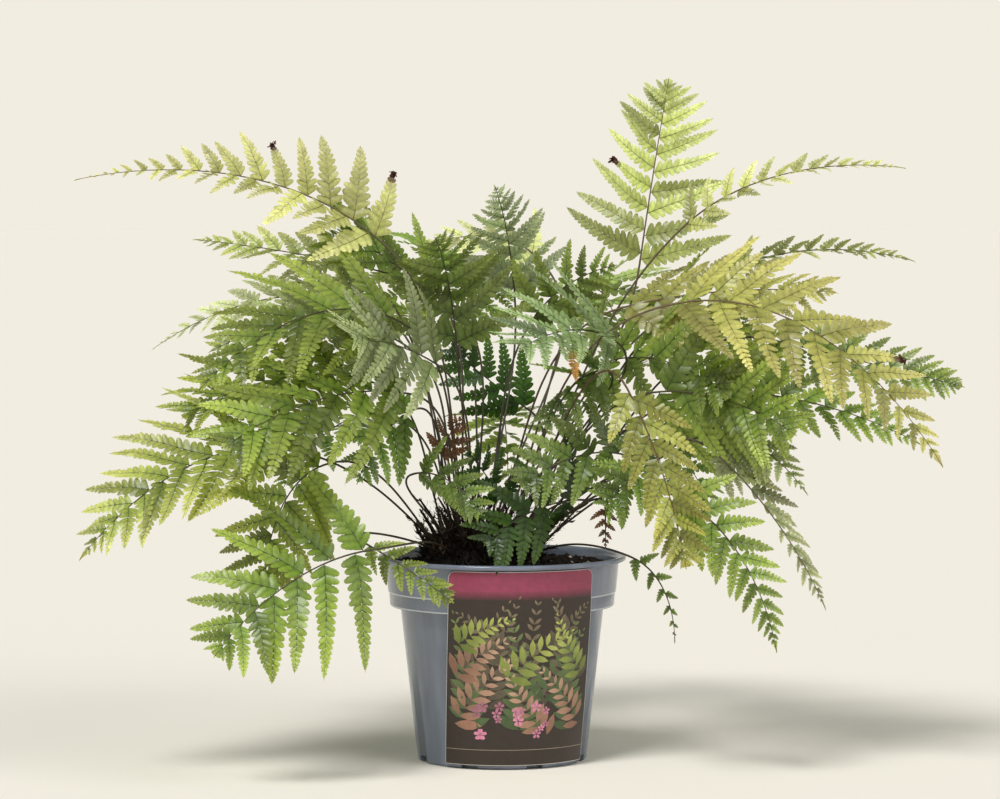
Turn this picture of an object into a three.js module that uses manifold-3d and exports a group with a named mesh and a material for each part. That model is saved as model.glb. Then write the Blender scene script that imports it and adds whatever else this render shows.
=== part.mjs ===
// A potted autumn fern: a tapered nursery pot with a plant card round its front, potting soil,
// the scaly crown of the plant, and its fronds, each one stalk with a blade cut into leaflets.
// Millimetres, +Z up. The origin is the middle of the pot's flat foot. The card faces -Y.

import * as THREE from "three";
import { mergeVertices } from "three/addons/utils/BufferGeometryUtils.js";
import Module from "manifold-3d";

const wasm = await Module();
wasm.setup();

// Pot: a round 17 cm nursery container.
const RIM_RADIUS = 85;
const POT_HEIGHT = 140;
const COLLAR_TOP_RADIUS = 80;
const COLLAR_FOOT_RADIUS = 76.8;
const COLLAR_FOOT = 106;
const COLLAR_BEAD = 114.5;
const WALL_TOP_RADIUS = 69.6;
const FOOT_RADIUS = 58;
const WALL = 1.6;
const FLOOR = 3;
const POT_SIDES = 24;
const SLOTS = 8;
const SLOT_SIZE = { width: 11, depth: 10, height: 5 };

// Card: an A6-wide card bent round the front, resting on the collar and the foot, its middle
// turned a few degrees towards +X.
const CARD_WIDTH = 105;
const CARD_FOOT = 3;
const CARD_TOP = 135.5;
const CARD_STAND_OFF = 0.9;
const CARD_THICKNESS = 0.5;
const CARD_CORNER = 5;
const CARD_COLUMNS = 14;
const CARD_TURN = 11;

// Soil and crown.
const GAP = 0.35;
const SOIL_LEVEL = 133;
const SOIL_SIDES = 24;
const CROWN = { x: -14, y: 4, radius: 41, foot: 121, top: 157 };
const CROWN_SIDES = 14;
const STUBS = 9;

// Fronds.
const ROOT_SPREAD = 34;
const ROOT_SPACING = 7;
const ROOT_DEPTH = 7;
const STALK_STEPS = 4;
const STALK_HALF = 0.95;
const MIDRIB_TIP_HALF = 0.45;
const LEAFLET_THICKNESS = 0.7;
const LEAFLET_TIP_SWING = 44;
const CLOSING = 1.35;
const CLEARANCE = 0.5;
const STALK_CLEARANCE = 3.4;

const UP = [0, -0.35, 0.95];
const VIEWER = [0, -1, 0.25];
const OPEN = [0, -0.75, 0.65];
const LEFT = [-0.25, -0.6, 0.75];
const RIGHT = [0.25, -0.6, 0.75];
const AWAY = [0, 0.35, 0.95];

// One row for each frond: name, blade base, blade tip, the midrib's slope in degrees as it
// leaves the stalk, the longest leaflet, how soon the leaflets shorten towards the tip, how far the
// lowest leaflets swing out from the midrib in degrees, pairs of leaflets, the way the blade faces,
// how far the leaflets fold up in degrees, and the blade's age.
const FRONDS = [
  ["left_crest", [-84, 10, 355], [-287, -38, 396], 41, 60, 1.28, 60, 9, [-0.41, -0.64, 0.65], 20, "young"],
  ["left_back", [-70, 60, 329], [-216, 77, 355], 15, 49, 0.93, 53, 6, [0.05, -0.65, 0.76], 10, "mature"],
  ["left_pale", [-100, 50, 311], [-243, 47, 279], 17, 56, 1.14, 60, 7, [-0.14, -0.44, 0.89], 12, "young"],
  ["left_olive", [-74, -31, 303], [-200, -94, 257], 22, 89, 0.87, 56, 7, LEFT, 4, "mature"],
  ["left_mid", [-69, 4, 285], [-198, -23, 280], 31, 60, 0.85, 62, 6, [-0.1, -0.65, 0.75], 8, "mature"],
  ["left_comb", [-88, -2, 258], [-214, -53, 237], 18, 73, 0.46, 53, 7, [-0.56, -0.66, 0.51], 6, "mature"],
  ["left_front", [-61, -61, 253], [-179, -152, 223], 11, 79, 0.49, 56, 7, [-0.09, -0.86, 0.5], 0, "mature"],
  ["left_long", [-134, -56, 214], [-277, -113, 147], 16, 96, 0.95, 57, 8, [-0.28, -0.64, 0.72], 4, "mature"],
  ["left_drop", [-118, -81, 207], [-156, -106, 126], -15, 58, 0.49, 78, 6, [0.04, -0.98, 0.21], 0, "mature"],
  ["left_low", [-86, -111, 153], [-185, -159, 89], -5, 92, 0.76, 76, 7, [-0.04, -0.95, 0.32], 0, "mature"],
  ["left_lip", [-90, -88, 155], [-33, -109, 119], -26, 22, 0.55, 59, 5, [0.08, -0.94, 0.34], 0, "mature"],
  ["left_mass", [-42, -46, 271], [-97, -116, 293], 25, 59, 0.45, 68, 5, [-0.09, -0.93, 0.35], 0, "mature"],
  ["left_inner", [-60, -33, 241], [-96, -75, 195], -14, 50, 0.85, 62, 5, [0.29, -0.94, 0.18], 0, "mature"],
  ["mid_crest", [9, 69, 314], [-5, -2, 392], 71, 48, 0.97, 61, 7, [0.21, -0.98, 0.03], 4, "mature"],
  ["mid_arch", [24, 98, 343], [-58, 85, 348], 43, 39, 0.86, 69, 4, [0.13, -0.65, 0.75], 10, "young"],
  ["mid_face", [-31, -7, 282], [-44, -82, 357], 70, 61, 0.77, 71, 7, [-0.03, -0.95, 0.3], 0, "mature"],
  ["mid_left", [-43, 39, 317], [-116, 15, 369], 32, 61, 0.45, 50, 6, [0.18, -0.61, 0.77], 10, "mature"],
  ["mid_right", [20, 38, 298], [77, 0, 338], 54, 46, 0.82, 62, 5, [0.14, -0.99, 0.06], 0, "mature"],
  ["mid_shade", [19, 77, 235], [-36, 63, 279], 35, 40, 0.47, 56, 5, [0.09, -0.99, -0.15], 0, "mature"],
  ["mid_inner", [68, -20, 267], [30, -66, 230], 1, 43, 0.63, 73, 5, [0.03, -0.91, 0.42], 0, "mature"],
  ["mid_small", [-59, -51, 199], [-14, -85, 175], 13, 30, 0.49, 57, 4, [0.01, -1, 0.01], 0, "mature"],
  ["mid_new", [-41, -25, 207], [-28, -32, 236], 78, 22, 0.85, 60, 4, [0.05, -0.83, 0.56], 0, "old"],
  ["mid_low", [2, -15, 175], [-23, -53, 214], 46, 29, 0.57, 68, 4, [-0.22, -0.83, 0.52], 0, "mature"],
  ["right_crest", [95, 30, 338], [115, 31, 466], 82, 67, 0.72, 60, 10, [-0.29, -0.94, 0.16], 0, "young"],
  ["right_edge", [124, 9, 364], [272, -27, 404], 43, 28, 0.81, 63, 8, [0.3, -0.51, 0.8], 20, "young"],
  ["right_back", [149, 29, 330], [281, -2, 341], 29, 26, 0.75, 59, 8, [0.1, -0.49, 0.87], 20, "young"],
  ["right_gold", [115, -55, 313], [289, -109, 208], 12, 80, 0.85, 66, 9, [-0.19, -0.53, 0.82], 4, "gold"],
  ["right_high", [82, 1, 309], [226, -23, 320], 15, 55, 0.76, 59, 7, OPEN, 0, "gold"],
  ["right_far", [187, 32, 286], [313, -14, 256], -12, 37, 0.57, 73, 8, [0.08, -0.8, 0.59], 8, "mature"],
  ["right_hang", [112, -88, 188], [180, -115, 87], -21, 41, 0.85, 51, 8, [0.18, -0.98, -0.1], 0, "mature"],
  ["right_long", [142, -58, 214], [213, -101, 114], -36, 38, 0.99, 34, 8, [0.16, -0.65, 0.74], 0, "mature"],
  ["right_old", [82, -105, 259], [119, -142, 145], -53, 40, 0.49, 43, 8, [-0.09, -0.96, 0.28], 0, "old"],
  ["right_weak", [87, -28, 141], [117, -34, 84], -21, 16, 0.92, 61, 4, [0.26, -0.97, 0.01], 0, "mature"],
  ["right_inner", [82, -54, 212], [13, -88, 193], 14, 42, 0.49, 57, 6, [0.19, -0.91, 0.37], 0, "mature"],
  ["right_low", [103, -59, 208], [68, -101, 181], -19, 39, 0.51, 49, 5, [0.15, -0.99, -0], 0, "mature"],
  ["right_lip", [53, -46, 181], [-11, -78, 154], 2, 48, 0.45, 76, 5, [0.1, -0.97, 0.21], 0, "mature"],
  ["right_dead", [70, -27, 174], [70, -36, 148], -50, 12, 0.96, 60, 4, [-0.08, -0.99, 0.1], 0, "old"],
  ["right_silver", [77, -23, 287], [13, -99, 285], 24, 68, 0.5, 58, 7, [-0.08, -0.83, 0.55], 6, "mature"],
  ["right_green", [102, -39, 253], [193, -93, 228], 8, 76, 0.71, 68, 7, [0.14, -0.99, -0.07], 0, "mature"],
  ["right_wide", [149, 4, 251], [284, -20, 217], 2, 46, 0.88, 57, 7, [0.03, -0.81, 0.58], 6, "mature"],
  ["right_under", [133, -42, 223], [202, -85, 188], 18, 49, 1.1, 56, 6, [0.03, -0.76, 0.65], 0, "mature"],
  ["right_mass", [54, 38, 259], [151, -76, 252], 32, 70, 0.57, 61, 6, [-0.28, -0.92, 0.28], 0, "mature"],
  ["right_shade", [84, 55, 262], [174, 42, 296], 34, 58, 0.85, 62, 5, [-0.17, -0.33, 0.93], 8, "mature"],
  ["back_left", [-76, 104, 306], [-146, 223, 250], 37, 76, 0.5, 69, 4, [0.26, 0.31, 0.91], 6, "mature"],
  ["back_mid", [-22, 116, 326], [-30, 256, 277], 46, 75, 0.47, 56, 4, [0.02, 0.61, 0.79], 6, "mature"],
  ["back_right", [53, 113, 313], [92, 244, 274], 25, 73, 0.47, 59, 4, [-0.28, 0.12, 0.95], 6, "young"],
  ["back_far_right", [105, 95, 293], [200, 182, 235], 32, 73, 0.75, 62, 4, [-0.24, 0.56, 0.79], 6, "mature"],
  ["back_low_left", [-80, 120, 228], [-165, 190, 163], 10, 58, 0.85, 62, 4, AWAY, 4, "mature"],
  ["back_low_mid", [0, 130, 228], [5, 235, 168], 10, 60, 0.85, 62, 4, AWAY, 4, "mature"],
  ["back_low_right", [85, 110, 218], [155, 185, 153], 10, 58, 0.85, 62, 4, AWAY, 4, "mature"],
];

const TINTS = {
  young: 0xa9b254,
  mature: 0x4f7a35,
  gold: 0xb59a42,
  old: 0x9a7c3c,
};

const degrees = THREE.MathUtils.degToRad;

const finish = (color, roughness, metalness = 0) =>
  new THREE.MeshStandardMaterial({ color, roughness, metalness });

function mesh(name, geometry, material) {
  const made = new THREE.Mesh(geometry, material);
  made.name = name;
  return made;
}

// Small repeatable random numbers from 0 to 1.
function seeded(seed) {
  let state = seed;
  return () => {
    state = (state * 1664525 + 1013904223) % 4294967296;
    return state / 4294967296;
  };
}

// A closed geometry from a list of points and triangles.
function closedGeometry(points, triangles) {
  const geometry = new THREE.BufferGeometry();
  const flat = points.flatMap((p) => [p.x, p.y, p.z]);
  geometry.setAttribute("position", new THREE.Float32BufferAttribute(flat, 3));
  geometry.setIndex(triangles.flat());
  return geometry;
}

function solidOf(geometry) {
  const bare = geometry.clone();
  bare.deleteAttribute("normal");
  bare.deleteAttribute("uv");
  const merged = mergeVertices(bare, 1e-3);
  const vertProperties = merged.attributes.position.array;
  const triVerts = new Uint32Array(merged.index.array);
  return new wasm.Manifold(new wasm.Mesh({ numProp: 3, vertProperties, triVerts }));
}

function geometryOf(solid) {
  const { vertProperties, triVerts, numProp } = solid.getMesh();
  const points = [];
  for (let i = 0; i < vertProperties.length; i += numProp) {
    points.push(new THREE.Vector3(...vertProperties.subarray(i, i + 3)));
  }
  const triangles = [];
  for (let i = 0; i < triVerts.length; i += 3) {
    triangles.push([...triVerts.subarray(i, i + 3)]);
  }
  return closedGeometry(points, triangles);
}

// The largest body of a solid, without the scraps that a cut may leave.
function largestBody(solid) {
  return solid.decompose().reduce((a, b) => (a.volume() > b.volume() ? a : b));
}

// A round body from a profile of [radius, height] pairs, turned about +Z.
function turned(profile, sides) {
  const points = profile.map(([r, z]) => new THREE.Vector2(r, z));
  return new THREE.LatheGeometry(points, sides).rotateX(Math.PI / 2);
}

// A body from rings stacked along Z. Each ring has a centre, radius, height and roughness;
// the first and last are closed with a point at their middle.
function stackedRings(rings, sides, random) {
  const points = [];
  for (const ring of rings) {
    for (let k = 0; k < sides; k++) {
      const angle = (k / sides) * 2 * Math.PI;
      const r = ring.r + (random() - 0.5) * 2 * (ring.rough ?? 0);
      const z = ring.z + (random() - 0.5) * 2 * (ring.rough ?? 0);
      points.push(new THREE.Vector3((ring.x ?? 0) + r * Math.cos(angle), (ring.y ?? 0) + r * Math.sin(angle), z));
    }
  }
  const first = rings[0];
  const last = rings[rings.length - 1];
  points.push(new THREE.Vector3(first.x ?? 0, first.y ?? 0, first.z));
  points.push(new THREE.Vector3(last.x ?? 0, last.y ?? 0, last.z));
  const bottom = rings.length * sides;
  const triangles = [];
  for (let k = 0; k < sides; k++) {
    const next = (k + 1) % sides;
    for (let j = 0; j + 1 < rings.length; j++) {
      const a = j * sides + k;
      const b = j * sides + next;
      triangles.push([a, b, b + sides], [a, b + sides, a + sides]);
    }
    triangles.push([bottom, next, k]);
    const topRow = (rings.length - 1) * sides;
    triangles.push([bottom + 1, topRow + k, topRow + next]);
  }
  return closedGeometry(points, triangles);
}

function potWallRadius(z) {
  return THREE.MathUtils.mapLinear(z, 0, COLLAR_FOOT - 1, FOOT_RADIUS, WALL_TOP_RADIUS);
}

function potGeometry() {
  const profile = [
    [0, 0],
    [FOOT_RADIUS - 1, 0],
    [FOOT_RADIUS, 1.2],
    [WALL_TOP_RADIUS, COLLAR_FOOT - 1],
    [COLLAR_FOOT_RADIUS, COLLAR_FOOT],
    [COLLAR_FOOT_RADIUS + 0.5, COLLAR_BEAD],
    [COLLAR_FOOT_RADIUS + 1.2, COLLAR_BEAD + 1],
    [COLLAR_TOP_RADIUS, POT_HEIGHT - 4],
    [RIM_RADIUS, POT_HEIGHT - 2.6],
    [RIM_RADIUS, POT_HEIGHT - 0.8],
    [RIM_RADIUS - 1.2, POT_HEIGHT],
    [COLLAR_TOP_RADIUS - 1, POT_HEIGHT - 1.4],
    [COLLAR_FOOT_RADIUS - WALL, COLLAR_FOOT + 2],
    [WALL_TOP_RADIUS - WALL, COLLAR_FOOT - 1],
    [FOOT_RADIUS - WALL, FLOOR],
    [0, FLOOR],
  ];
  let pot = solidOf(turned(profile, POT_SIDES));
  for (let i = 0; i < SLOTS; i++) {
    const slot = new THREE.BoxGeometry(SLOT_SIZE.depth, SLOT_SIZE.width, SLOT_SIZE.height);
    slot.translate(FOOT_RADIUS, 0, FLOOR - 1);
    slot.rotateZ(((i + 0.5) / SLOTS) * 2 * Math.PI);
    pot = pot.subtract(solidOf(slot));
  }
  return geometryOf(largestBody(pot));
}

// The card hugs the foot and the collar, with the straight line between them kept clear of the wall.
function cardRadius(z) {
  const foot = FOOT_RADIUS + CARD_STAND_OFF + 0.6;
  const collar = COLLAR_FOOT_RADIUS + CARD_STAND_OFF + 0.3;
  if (z < COLLAR_FOOT) {
    return THREE.MathUtils.mapLinear(z, 0, COLLAR_FOOT, foot, collar);
  }
  return THREE.MathUtils.mapLinear(z, COLLAR_FOOT, CARD_TOP, collar, COLLAR_TOP_RADIUS + CARD_STAND_OFF);
}

function cardGeometry() {
  const rows = [CARD_FOOT, COLLAR_FOOT, CARD_TOP - CARD_CORNER, CARD_TOP - 1.5, CARD_TOP];
  const inset = [0, 0, 0, 1.5, CARD_CORNER];
  const points = [];
  for (const side of [0, CARD_THICKNESS]) {
    rows.forEach((z, row) => {
      for (let c = 0; c <= CARD_COLUMNS; c++) {
        const across = (c / CARD_COLUMNS - 0.5) * (CARD_WIDTH - 2 * inset[row]);
        const angle = across / cardRadius(z) + degrees(CARD_TURN);
        const r = cardRadius(z) + side;
        points.push(new THREE.Vector3(r * Math.sin(angle), -r * Math.cos(angle), z));
      }
    });
  }
  const columns = CARD_COLUMNS + 1;
  const sheet = rows.length * columns;
  const triangles = [];
  const quad = (a, b, c, d) => triangles.push([a, b, c], [a, c, d]);
  for (let row = 0; row + 1 < rows.length; row++) {
    for (let c = 0; c < CARD_COLUMNS; c++) {
      const a = row * columns + c;
      quad(a + sheet, a + 1 + sheet, a + 1 + columns + sheet, a + columns + sheet);
      quad(a + 1, a, a + columns, a + 1 + columns);
    }
    const left = row * columns;
    const right = left + CARD_COLUMNS;
    quad(left, left + sheet, left + columns + sheet, left + columns);
    quad(right + sheet, right, right + columns, right + columns + sheet);
  }
  for (let c = 0; c < CARD_COLUMNS; c++) {
    quad(c, c + 1, c + 1 + sheet, c + sheet);
    const top = (rows.length - 1) * columns + c;
    quad(top + 1, top, top + sheet, top + 1 + sheet);
  }
  return closedGeometry(points, triangles);
}

function soilGeometry() {
  const seat = { x: CROWN.x, y: CROWN.y, r: CROWN.radius + GAP };
  const inner = (z) => potWallRadius(z) - WALL - GAP;
  const collarInner = COLLAR_FOOT_RADIUS - WALL - GAP - 0.4;
  const rings = [
    { r: inner(FLOOR) - 0.2, z: FLOOR + GAP },
    { r: inner(COLLAR_FOOT - 1), z: COLLAR_FOOT - 0.6 },
    { r: collarInner, z: COLLAR_FOOT + 3.5 },
    { r: collarInner + 2, z: SOIL_LEVEL - 2 },
    { r: 72, z: SOIL_LEVEL - 0.5, rough: 1.2 },
    { x: CROWN.x / 2, y: CROWN.y / 2, r: 58, z: SOIL_LEVEL + 0.5, rough: 1.5 },
    { ...seat, z: SOIL_LEVEL + 1 },
    { ...seat, z: CROWN.foot - GAP },
  ];
  return stackedRings(rings, SOIL_SIDES, seeded(7));
}

// The crown's rounded top, as a height over the plan.
function crownHeight(x, y) {
  const away = Math.hypot(x - CROWN.x, y - CROWN.y) / CROWN.radius;
  return SOIL_LEVEL + (CROWN.top - SOIL_LEVEL) * Math.sqrt(Math.max(0, 1 - away * away));
}

// The midrib leaves the stalk at its stated slope, in the upright plane through base and tip.
function slopeDirection(base, tip, lift) {
  const along = tip.clone().sub(base).setZ(0).normalize();
  return along.multiplyScalar(Math.cos(degrees(lift))).setZ(Math.sin(degrees(lift)));
}

// How steeply a frond rises from the crown, from 0 for flat to 1 for upright.
function steepness(base) {
  const rise = base.z - SOIL_LEVEL;
  const out = Math.hypot(base.x - CROWN.x, base.y - CROWN.y);
  return rise / Math.hypot(rise, out);
}

// Sideways bows of a stalk, in the order in which they are tried.
const BOWS = [0, 5, -5, 10, -10, 15, -15, 20, -20, 26, -26, 32, -32];

// Lines of a frond: the stalk's curve from the crown and the blade's curve to the tip.
function frondCurves(row, root, bow) {
  const start = root.clone();
  const { base, tip, slope } = row;
  const span = base.distanceTo(start);
  const fan = new THREE.Vector3(start.x - CROWN.x, start.y - CROWN.y, 45).normalize();
  const aim = base.clone().sub(start).normalize().add(fan).normalize();
  const side = new THREE.Vector3(-aim.y, aim.x, 0).normalize().multiplyScalar(bow);
  const stalk = new THREE.CubicBezierCurve3(
    start,
    start.clone().addScaledVector(aim, span * 0.38).add(side),
    base.clone().addScaledVector(slope, -span * 0.36).add(side),
    base,
  );
  const reach = tip.distanceTo(base);
  const blade = new THREE.CubicBezierCurve3(
    base,
    base.clone().addScaledVector(slope, reach * 0.36),
    base.clone().addScaledVector(slope, reach * 0.5).lerp(tip, 0.5),
    tip,
  );
  return { stalk, blade };
}

// Shortest distance between two straight pieces a-b and c-d.
function segmentDistance(a, b, c, d) {
  let nearest = Infinity;
  const line = new THREE.Line3(c, d);
  const spot = new THREE.Vector3();
  const onLine = new THREE.Vector3();
  for (let i = 0; i <= 16; i++) {
    spot.lerpVectors(a, b, i / 16);
    line.closestPointToPoint(spot, true, onLine);
    nearest = Math.min(nearest, spot.distanceTo(onLine));
  }
  return nearest;
}

function linesDistance(one, other) {
  let nearest = Infinity;
  for (let i = 0; i + 1 < one.length; i++) {
    for (let j = 0; j + 1 < other.length; j++) {
      if (one[i].distanceTo(other[j]) < 110) {
        nearest = Math.min(nearest, segmentDistance(one[i], one[i + 1], other[j], other[j + 1]));
      }
    }
  }
  return nearest;
}

// Roots that stand too close move apart in plan, and then each drops to its depth in the crown.
function spreadRoots(roots) {
  const centre = new THREE.Vector3(CROWN.x, CROWN.y, 0);
  for (let round = 0; round < 60; round++) {
    for (const one of roots) {
      for (const other of roots) {
        const apart = one.clone().sub(other);
        const lack = ROOT_SPACING - apart.length();
        if (one !== other && lack > 0) {
          one.addScaledVector(apart.normalize(), lack / 2);
          other.addScaledVector(apart, -lack / 2);
        }
      }
      one.sub(centre).clampLength(0, ROOT_SPREAD).add(centre);
    }
  }
  for (const root of roots) {
    root.z = crownHeight(root.x, root.y) - ROOT_DEPTH;
  }
}

// Every frond's curves. Upright fronds root near the middle of the crown and flat ones at its edge,
// each on its own side, and a stalk that would touch one placed before it bows sideways.
function plannedFronds() {
  const rows = FRONDS.map(([name, base, tip, lift, reach, taper, swing, pairs, face, cup, tint]) => {
    const from = new THREE.Vector3(...base);
    const to = new THREE.Vector3(...tip);
    const slope = slopeDirection(from, to, lift);
    return { name, base: from, tip: to, slope, reach, taper, swing, pairs, face, cup, tint };
  });
  const byRise = [...rows].sort((a, b) => steepness(b.base) - steepness(a.base));
  byRise.forEach((row, rank) => {
    const r = ROOT_SPREAD * Math.sqrt((rank + 0.5) / rows.length);
    const angle = Math.atan2(row.base.y - CROWN.y, row.base.x - CROWN.x);
    const x = CROWN.x + r * Math.cos(angle);
    const y = CROWN.y + r * Math.sin(angle);
    row.root = new THREE.Vector3(x, y, 0);
  });
  spreadRoots(rows.map((row) => row.root));
  const placed = [];
  for (const row of rows) {
    let best = null;
    for (const bow of BOWS) {
      row.curves = frondCurves(row, row.root, bow);
      const spine = spineStations(row);
      const line = spine.map((station) => station.at);
      const room = placed.reduce((least, other) => Math.min(least, linesDistance(line, other)), Infinity);
      if (!best || room > best.room) {
        best = { curves: row.curves, spine, line, room };
      }
      if (room > STALK_CLEARANCE) {
        break;
      }
    }
    if (best.room < STALK_CLEARANCE) {
      console.log(`${row.name} comes within ${best.room.toFixed(1)} mm of another stalk`);
    }
    Object.assign(row, best);
    placed.push(best.line);
  }
  return rows;
}

// A place along the frond: its point, direction, sideways and facing vectors, and half sizes.
function bladeStation(row, t, half) {
  const at = row.curves.blade.getPoint(t);
  const along = row.curves.blade.getTangent(t);
  const facing = new THREE.Vector3(...row.face).normalize();
  const normal = facing.addScaledVector(along, -facing.dot(along)).normalize();
  const across = new THREE.Vector3().crossVectors(normal, along).normalize();
  return { t, at, along, normal, across, half };
}

function stalkStations(row, first) {
  const stations = [];
  let across = first.across.clone();
  for (let i = STALK_STEPS - 1; i >= 0; i--) {
    const t = i / STALK_STEPS;
    const at = row.curves.stalk.getPoint(t);
    const along = row.curves.stalk.getTangent(t);
    across = across.clone().addScaledVector(along, -across.dot(along)).normalize();
    const normal = new THREE.Vector3().crossVectors(along, across).normalize();
    stations.unshift({ at, along, normal, across, half: STALK_HALF });
  }
  return stations;
}

// The leaflet's length as a share of the longest, from the blade's base to its tip.
const leafletShare = (t, taper) => Math.pow(1 - t, taper) * (1 + 0.25 * t);

// Pairs of leaflets stand closer together towards the blade's tip.
const pairPlace = (pair, pairs) => 1 - Math.pow(1 - (pair + 0.42) / (pairs + 0.55), CLOSING);

function pairSpan(row, pair) {
  const left = 1 - (pair + 0.42) / (row.pairs + 0.55);
  return (row.tip.distanceTo(row.base) * CLOSING * Math.pow(left, CLOSING - 1)) / (row.pairs + 0.55);
}

// The whole line of a frond, from the root to the tip, with two stations for each pair of leaflets.
function spineStations(row) {
  const length = row.tip.distanceTo(row.base);
  const stations = [];
  for (let pair = 0; pair < row.pairs; pair++) {
    const t = pairPlace(pair, row.pairs);
    const half = THREE.MathUtils.lerp(STALK_HALF, MIDRIB_TIP_HALF, t);
    const leaflet = row.reach * leafletShare(t, row.taper);
    const rootHalf = (Math.min(pairSpan(row, pair) * 0.86, leaflet * 0.6) * 0.3) / length;
    stations.push({ ...bladeStation(row, t - rootHalf, half), pair }, bladeStation(row, t + rootHalf, half));
  }
  const end = bladeStation(row, 1, MIDRIB_TIP_HALF * 0.7);
  return [...stalkStations(row, stations[0]), ...stations, end];
}

// A leaflet's outline as its two roots at the midrib, pairs of low and high edge points, and a tip.
// fold turns it about the midrib.
function leafletOutline(row, pair, side, fold, share, grow = 0) {
  const t = pairPlace(pair, row.pairs);
  const place = bladeStation(row, t, 0);
  const swing = degrees(THREE.MathUtils.lerp(row.swing, LEAFLET_TIP_SWING, t));
  const bend = degrees(row.cup + fold);
  const out = place.across.clone().multiplyScalar(side * Math.cos(bend)).addScaledVector(place.normal, Math.sin(bend));
  const face = place.normal
    .clone()
    .multiplyScalar(Math.cos(bend))
    .addScaledVector(place.across, -side * Math.sin(bend));
  const along = place.along.clone().multiplyScalar(Math.cos(swing)).addScaledVector(out, Math.sin(swing));
  const width = place.along.clone().multiplyScalar(Math.sin(swing)).addScaledVector(out, -Math.cos(swing));
  const length = row.reach * leafletShare(t, row.taper) * share;
  const chord = Math.min(pairSpan(row, pair) * 0.86, length * 0.6);
  const point = (x, w) =>
    place.at
      .clone()
      .addScaledVector(along, x * length)
      .addScaledVector(width, w * (chord / 2 + grow))
      .addScaledVector(face, -0.12 * length * x * x);
  const belly = row.reach > 52 && pair < 2 ? [0.26, 0.62] : [0.36];
  const widths = belly.length === 2 ? [1, 0.66] : [1];
  return {
    face,
    roots: [-1, 1].map((way) =>
      place.at.clone().addScaledVector(place.along, way * chord * 0.3).addScaledVector(out, STALK_HALF + CLEARANCE),
    ),
    low: belly.map((x, i) => point(x, -widths[i])),
    high: belly.map((x, i) => point(x, widths[i])),
    end: point(1, 0),
  };
}

// Triangles of a leaflet as it stands free, thickened all round, for testing what it would cross.
function leafletTriangles(outline, half) {
  const { face, roots, low, high, end } = outline;
  const ring = [roots[0], ...low, end, ...[...high].reverse(), roots[1]];
  const top = ring.map((p) => p.clone().addScaledVector(face, half));
  const bottom = ring.map((p) => p.clone().addScaledVector(face, -half));
  const triangles = [];
  for (let i = 1; i + 1 < ring.length; i++) {
    triangles.push([top[0], top[i], top[i + 1]], [bottom[0], bottom[i], bottom[i + 1]]);
  }
  for (let i = 0; i < ring.length; i++) {
    const j = (i + 1) % ring.length;
    triangles.push([top[i], bottom[i], bottom[j]], [top[i], bottom[j], top[j]]);
  }
  return triangles;
}

function segmentMeets(p, q, [a, b, c]) {
  const way = q.clone().sub(p);
  const e1 = b.clone().sub(a);
  const e2 = c.clone().sub(a);
  const h = new THREE.Vector3().crossVectors(way, e2);
  const det = e1.dot(h);
  if (Math.abs(det) < 1e-9) {
    return false;
  }
  const s = p.clone().sub(a);
  const u = s.dot(h) / det;
  if (u < 0 || u > 1) {
    return false;
  }
  const k = new THREE.Vector3().crossVectors(s, e1);
  const v = way.dot(k) / det;
  if (v < 0 || u + v > 1) {
    return false;
  }
  const t = e2.dot(k) / det;
  return t >= 0 && t <= 1;
}

function trianglesMeet(one, other) {
  const edges = (t) => [[t[0], t[1]], [t[1], t[2]], [t[2], t[0]]];
  return edges(one).some(([p, q]) => segmentMeets(p, q, other)) || edges(other).some(([p, q]) => segmentMeets(p, q, one));
}

// What already stands in the plant, in cells, so that a new piece is tested against its neighbours only.
class Standing {
  constructor(cell) {
    this.cell = cell;
    this.cells = new Map();
  }

  keys(triangle) {
    const box = new THREE.Box3().setFromPoints(triangle);
    const found = [];
    const low = box.min.divideScalar(this.cell).floor();
    const high = box.max.divideScalar(this.cell).floor();
    for (let x = low.x; x <= high.x; x++) {
      for (let y = low.y; y <= high.y; y++) {
        for (let z = low.z; z <= high.z; z++) {
          found.push(`${x},${y},${z}`);
        }
      }
    }
    return found;
  }

  add(triangles, owner) {
    for (const triangle of triangles) {
      for (const key of this.keys(triangle)) {
        if (!this.cells.has(key)) {
          this.cells.set(key, []);
        }
        this.cells.get(key).push({ triangle, owner });
      }
    }
  }

  meets(triangles, apartFrom) {
    return triangles.some((triangle) =>
      this.keys(triangle).some((key) =>
        (this.cells.get(key) ?? []).some(
          (there) => there.owner !== apartFrom && trianglesMeet(triangle, there.triangle),
        ),
      ),
    );
  }
}

function geometryTriangles(geometry) {
  const flat = geometry.index ? geometry.toNonIndexed() : geometry;
  const { array } = flat.attributes.position;
  const triangles = [];
  for (let i = 0; i < array.length; i += 9) {
    triangles.push([0, 3, 6].map((k) => new THREE.Vector3(...array.subarray(i + k, i + k + 3))));
  }
  return triangles;
}

// A closed bar with four sides along stations, such as a bare stalk or the hole that it stands in.
function barGeometry(stations, extra) {
  const points = [];
  for (const s of stations) {
    const h = s.half + extra;
    for (const [a, n] of [[-1, 1], [1, 1], [1, -1], [-1, -1]]) {
      points.push(s.at.clone().addScaledVector(s.across, a * h).addScaledVector(s.normal, n * h));
    }
  }
  const triangles = [];
  const quad = (a, b, c, d) => triangles.push([a, b, c], [a, c, d]);
  quad(0, 1, 2, 3);
  for (let i = 0; i + 1 < stations.length; i++) {
    for (let k = 0; k < 4; k++) {
      const a = i * 4 + k;
      const b = i * 4 + ((k + 1) % 4);
      quad(b, a, a + 4, b + 4);
    }
  }
  const end = (stations.length - 1) * 4;
  quad(end + 3, end + 2, end + 1, end);
  return closedGeometry(points, triangles);
}

const FOLDS = [0, 10, -10, 20, -20, 30, -30, 42, -42, 55, -55];
const SHARES = [1, 0.85, 0.7, 0.55, 0.4];

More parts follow.
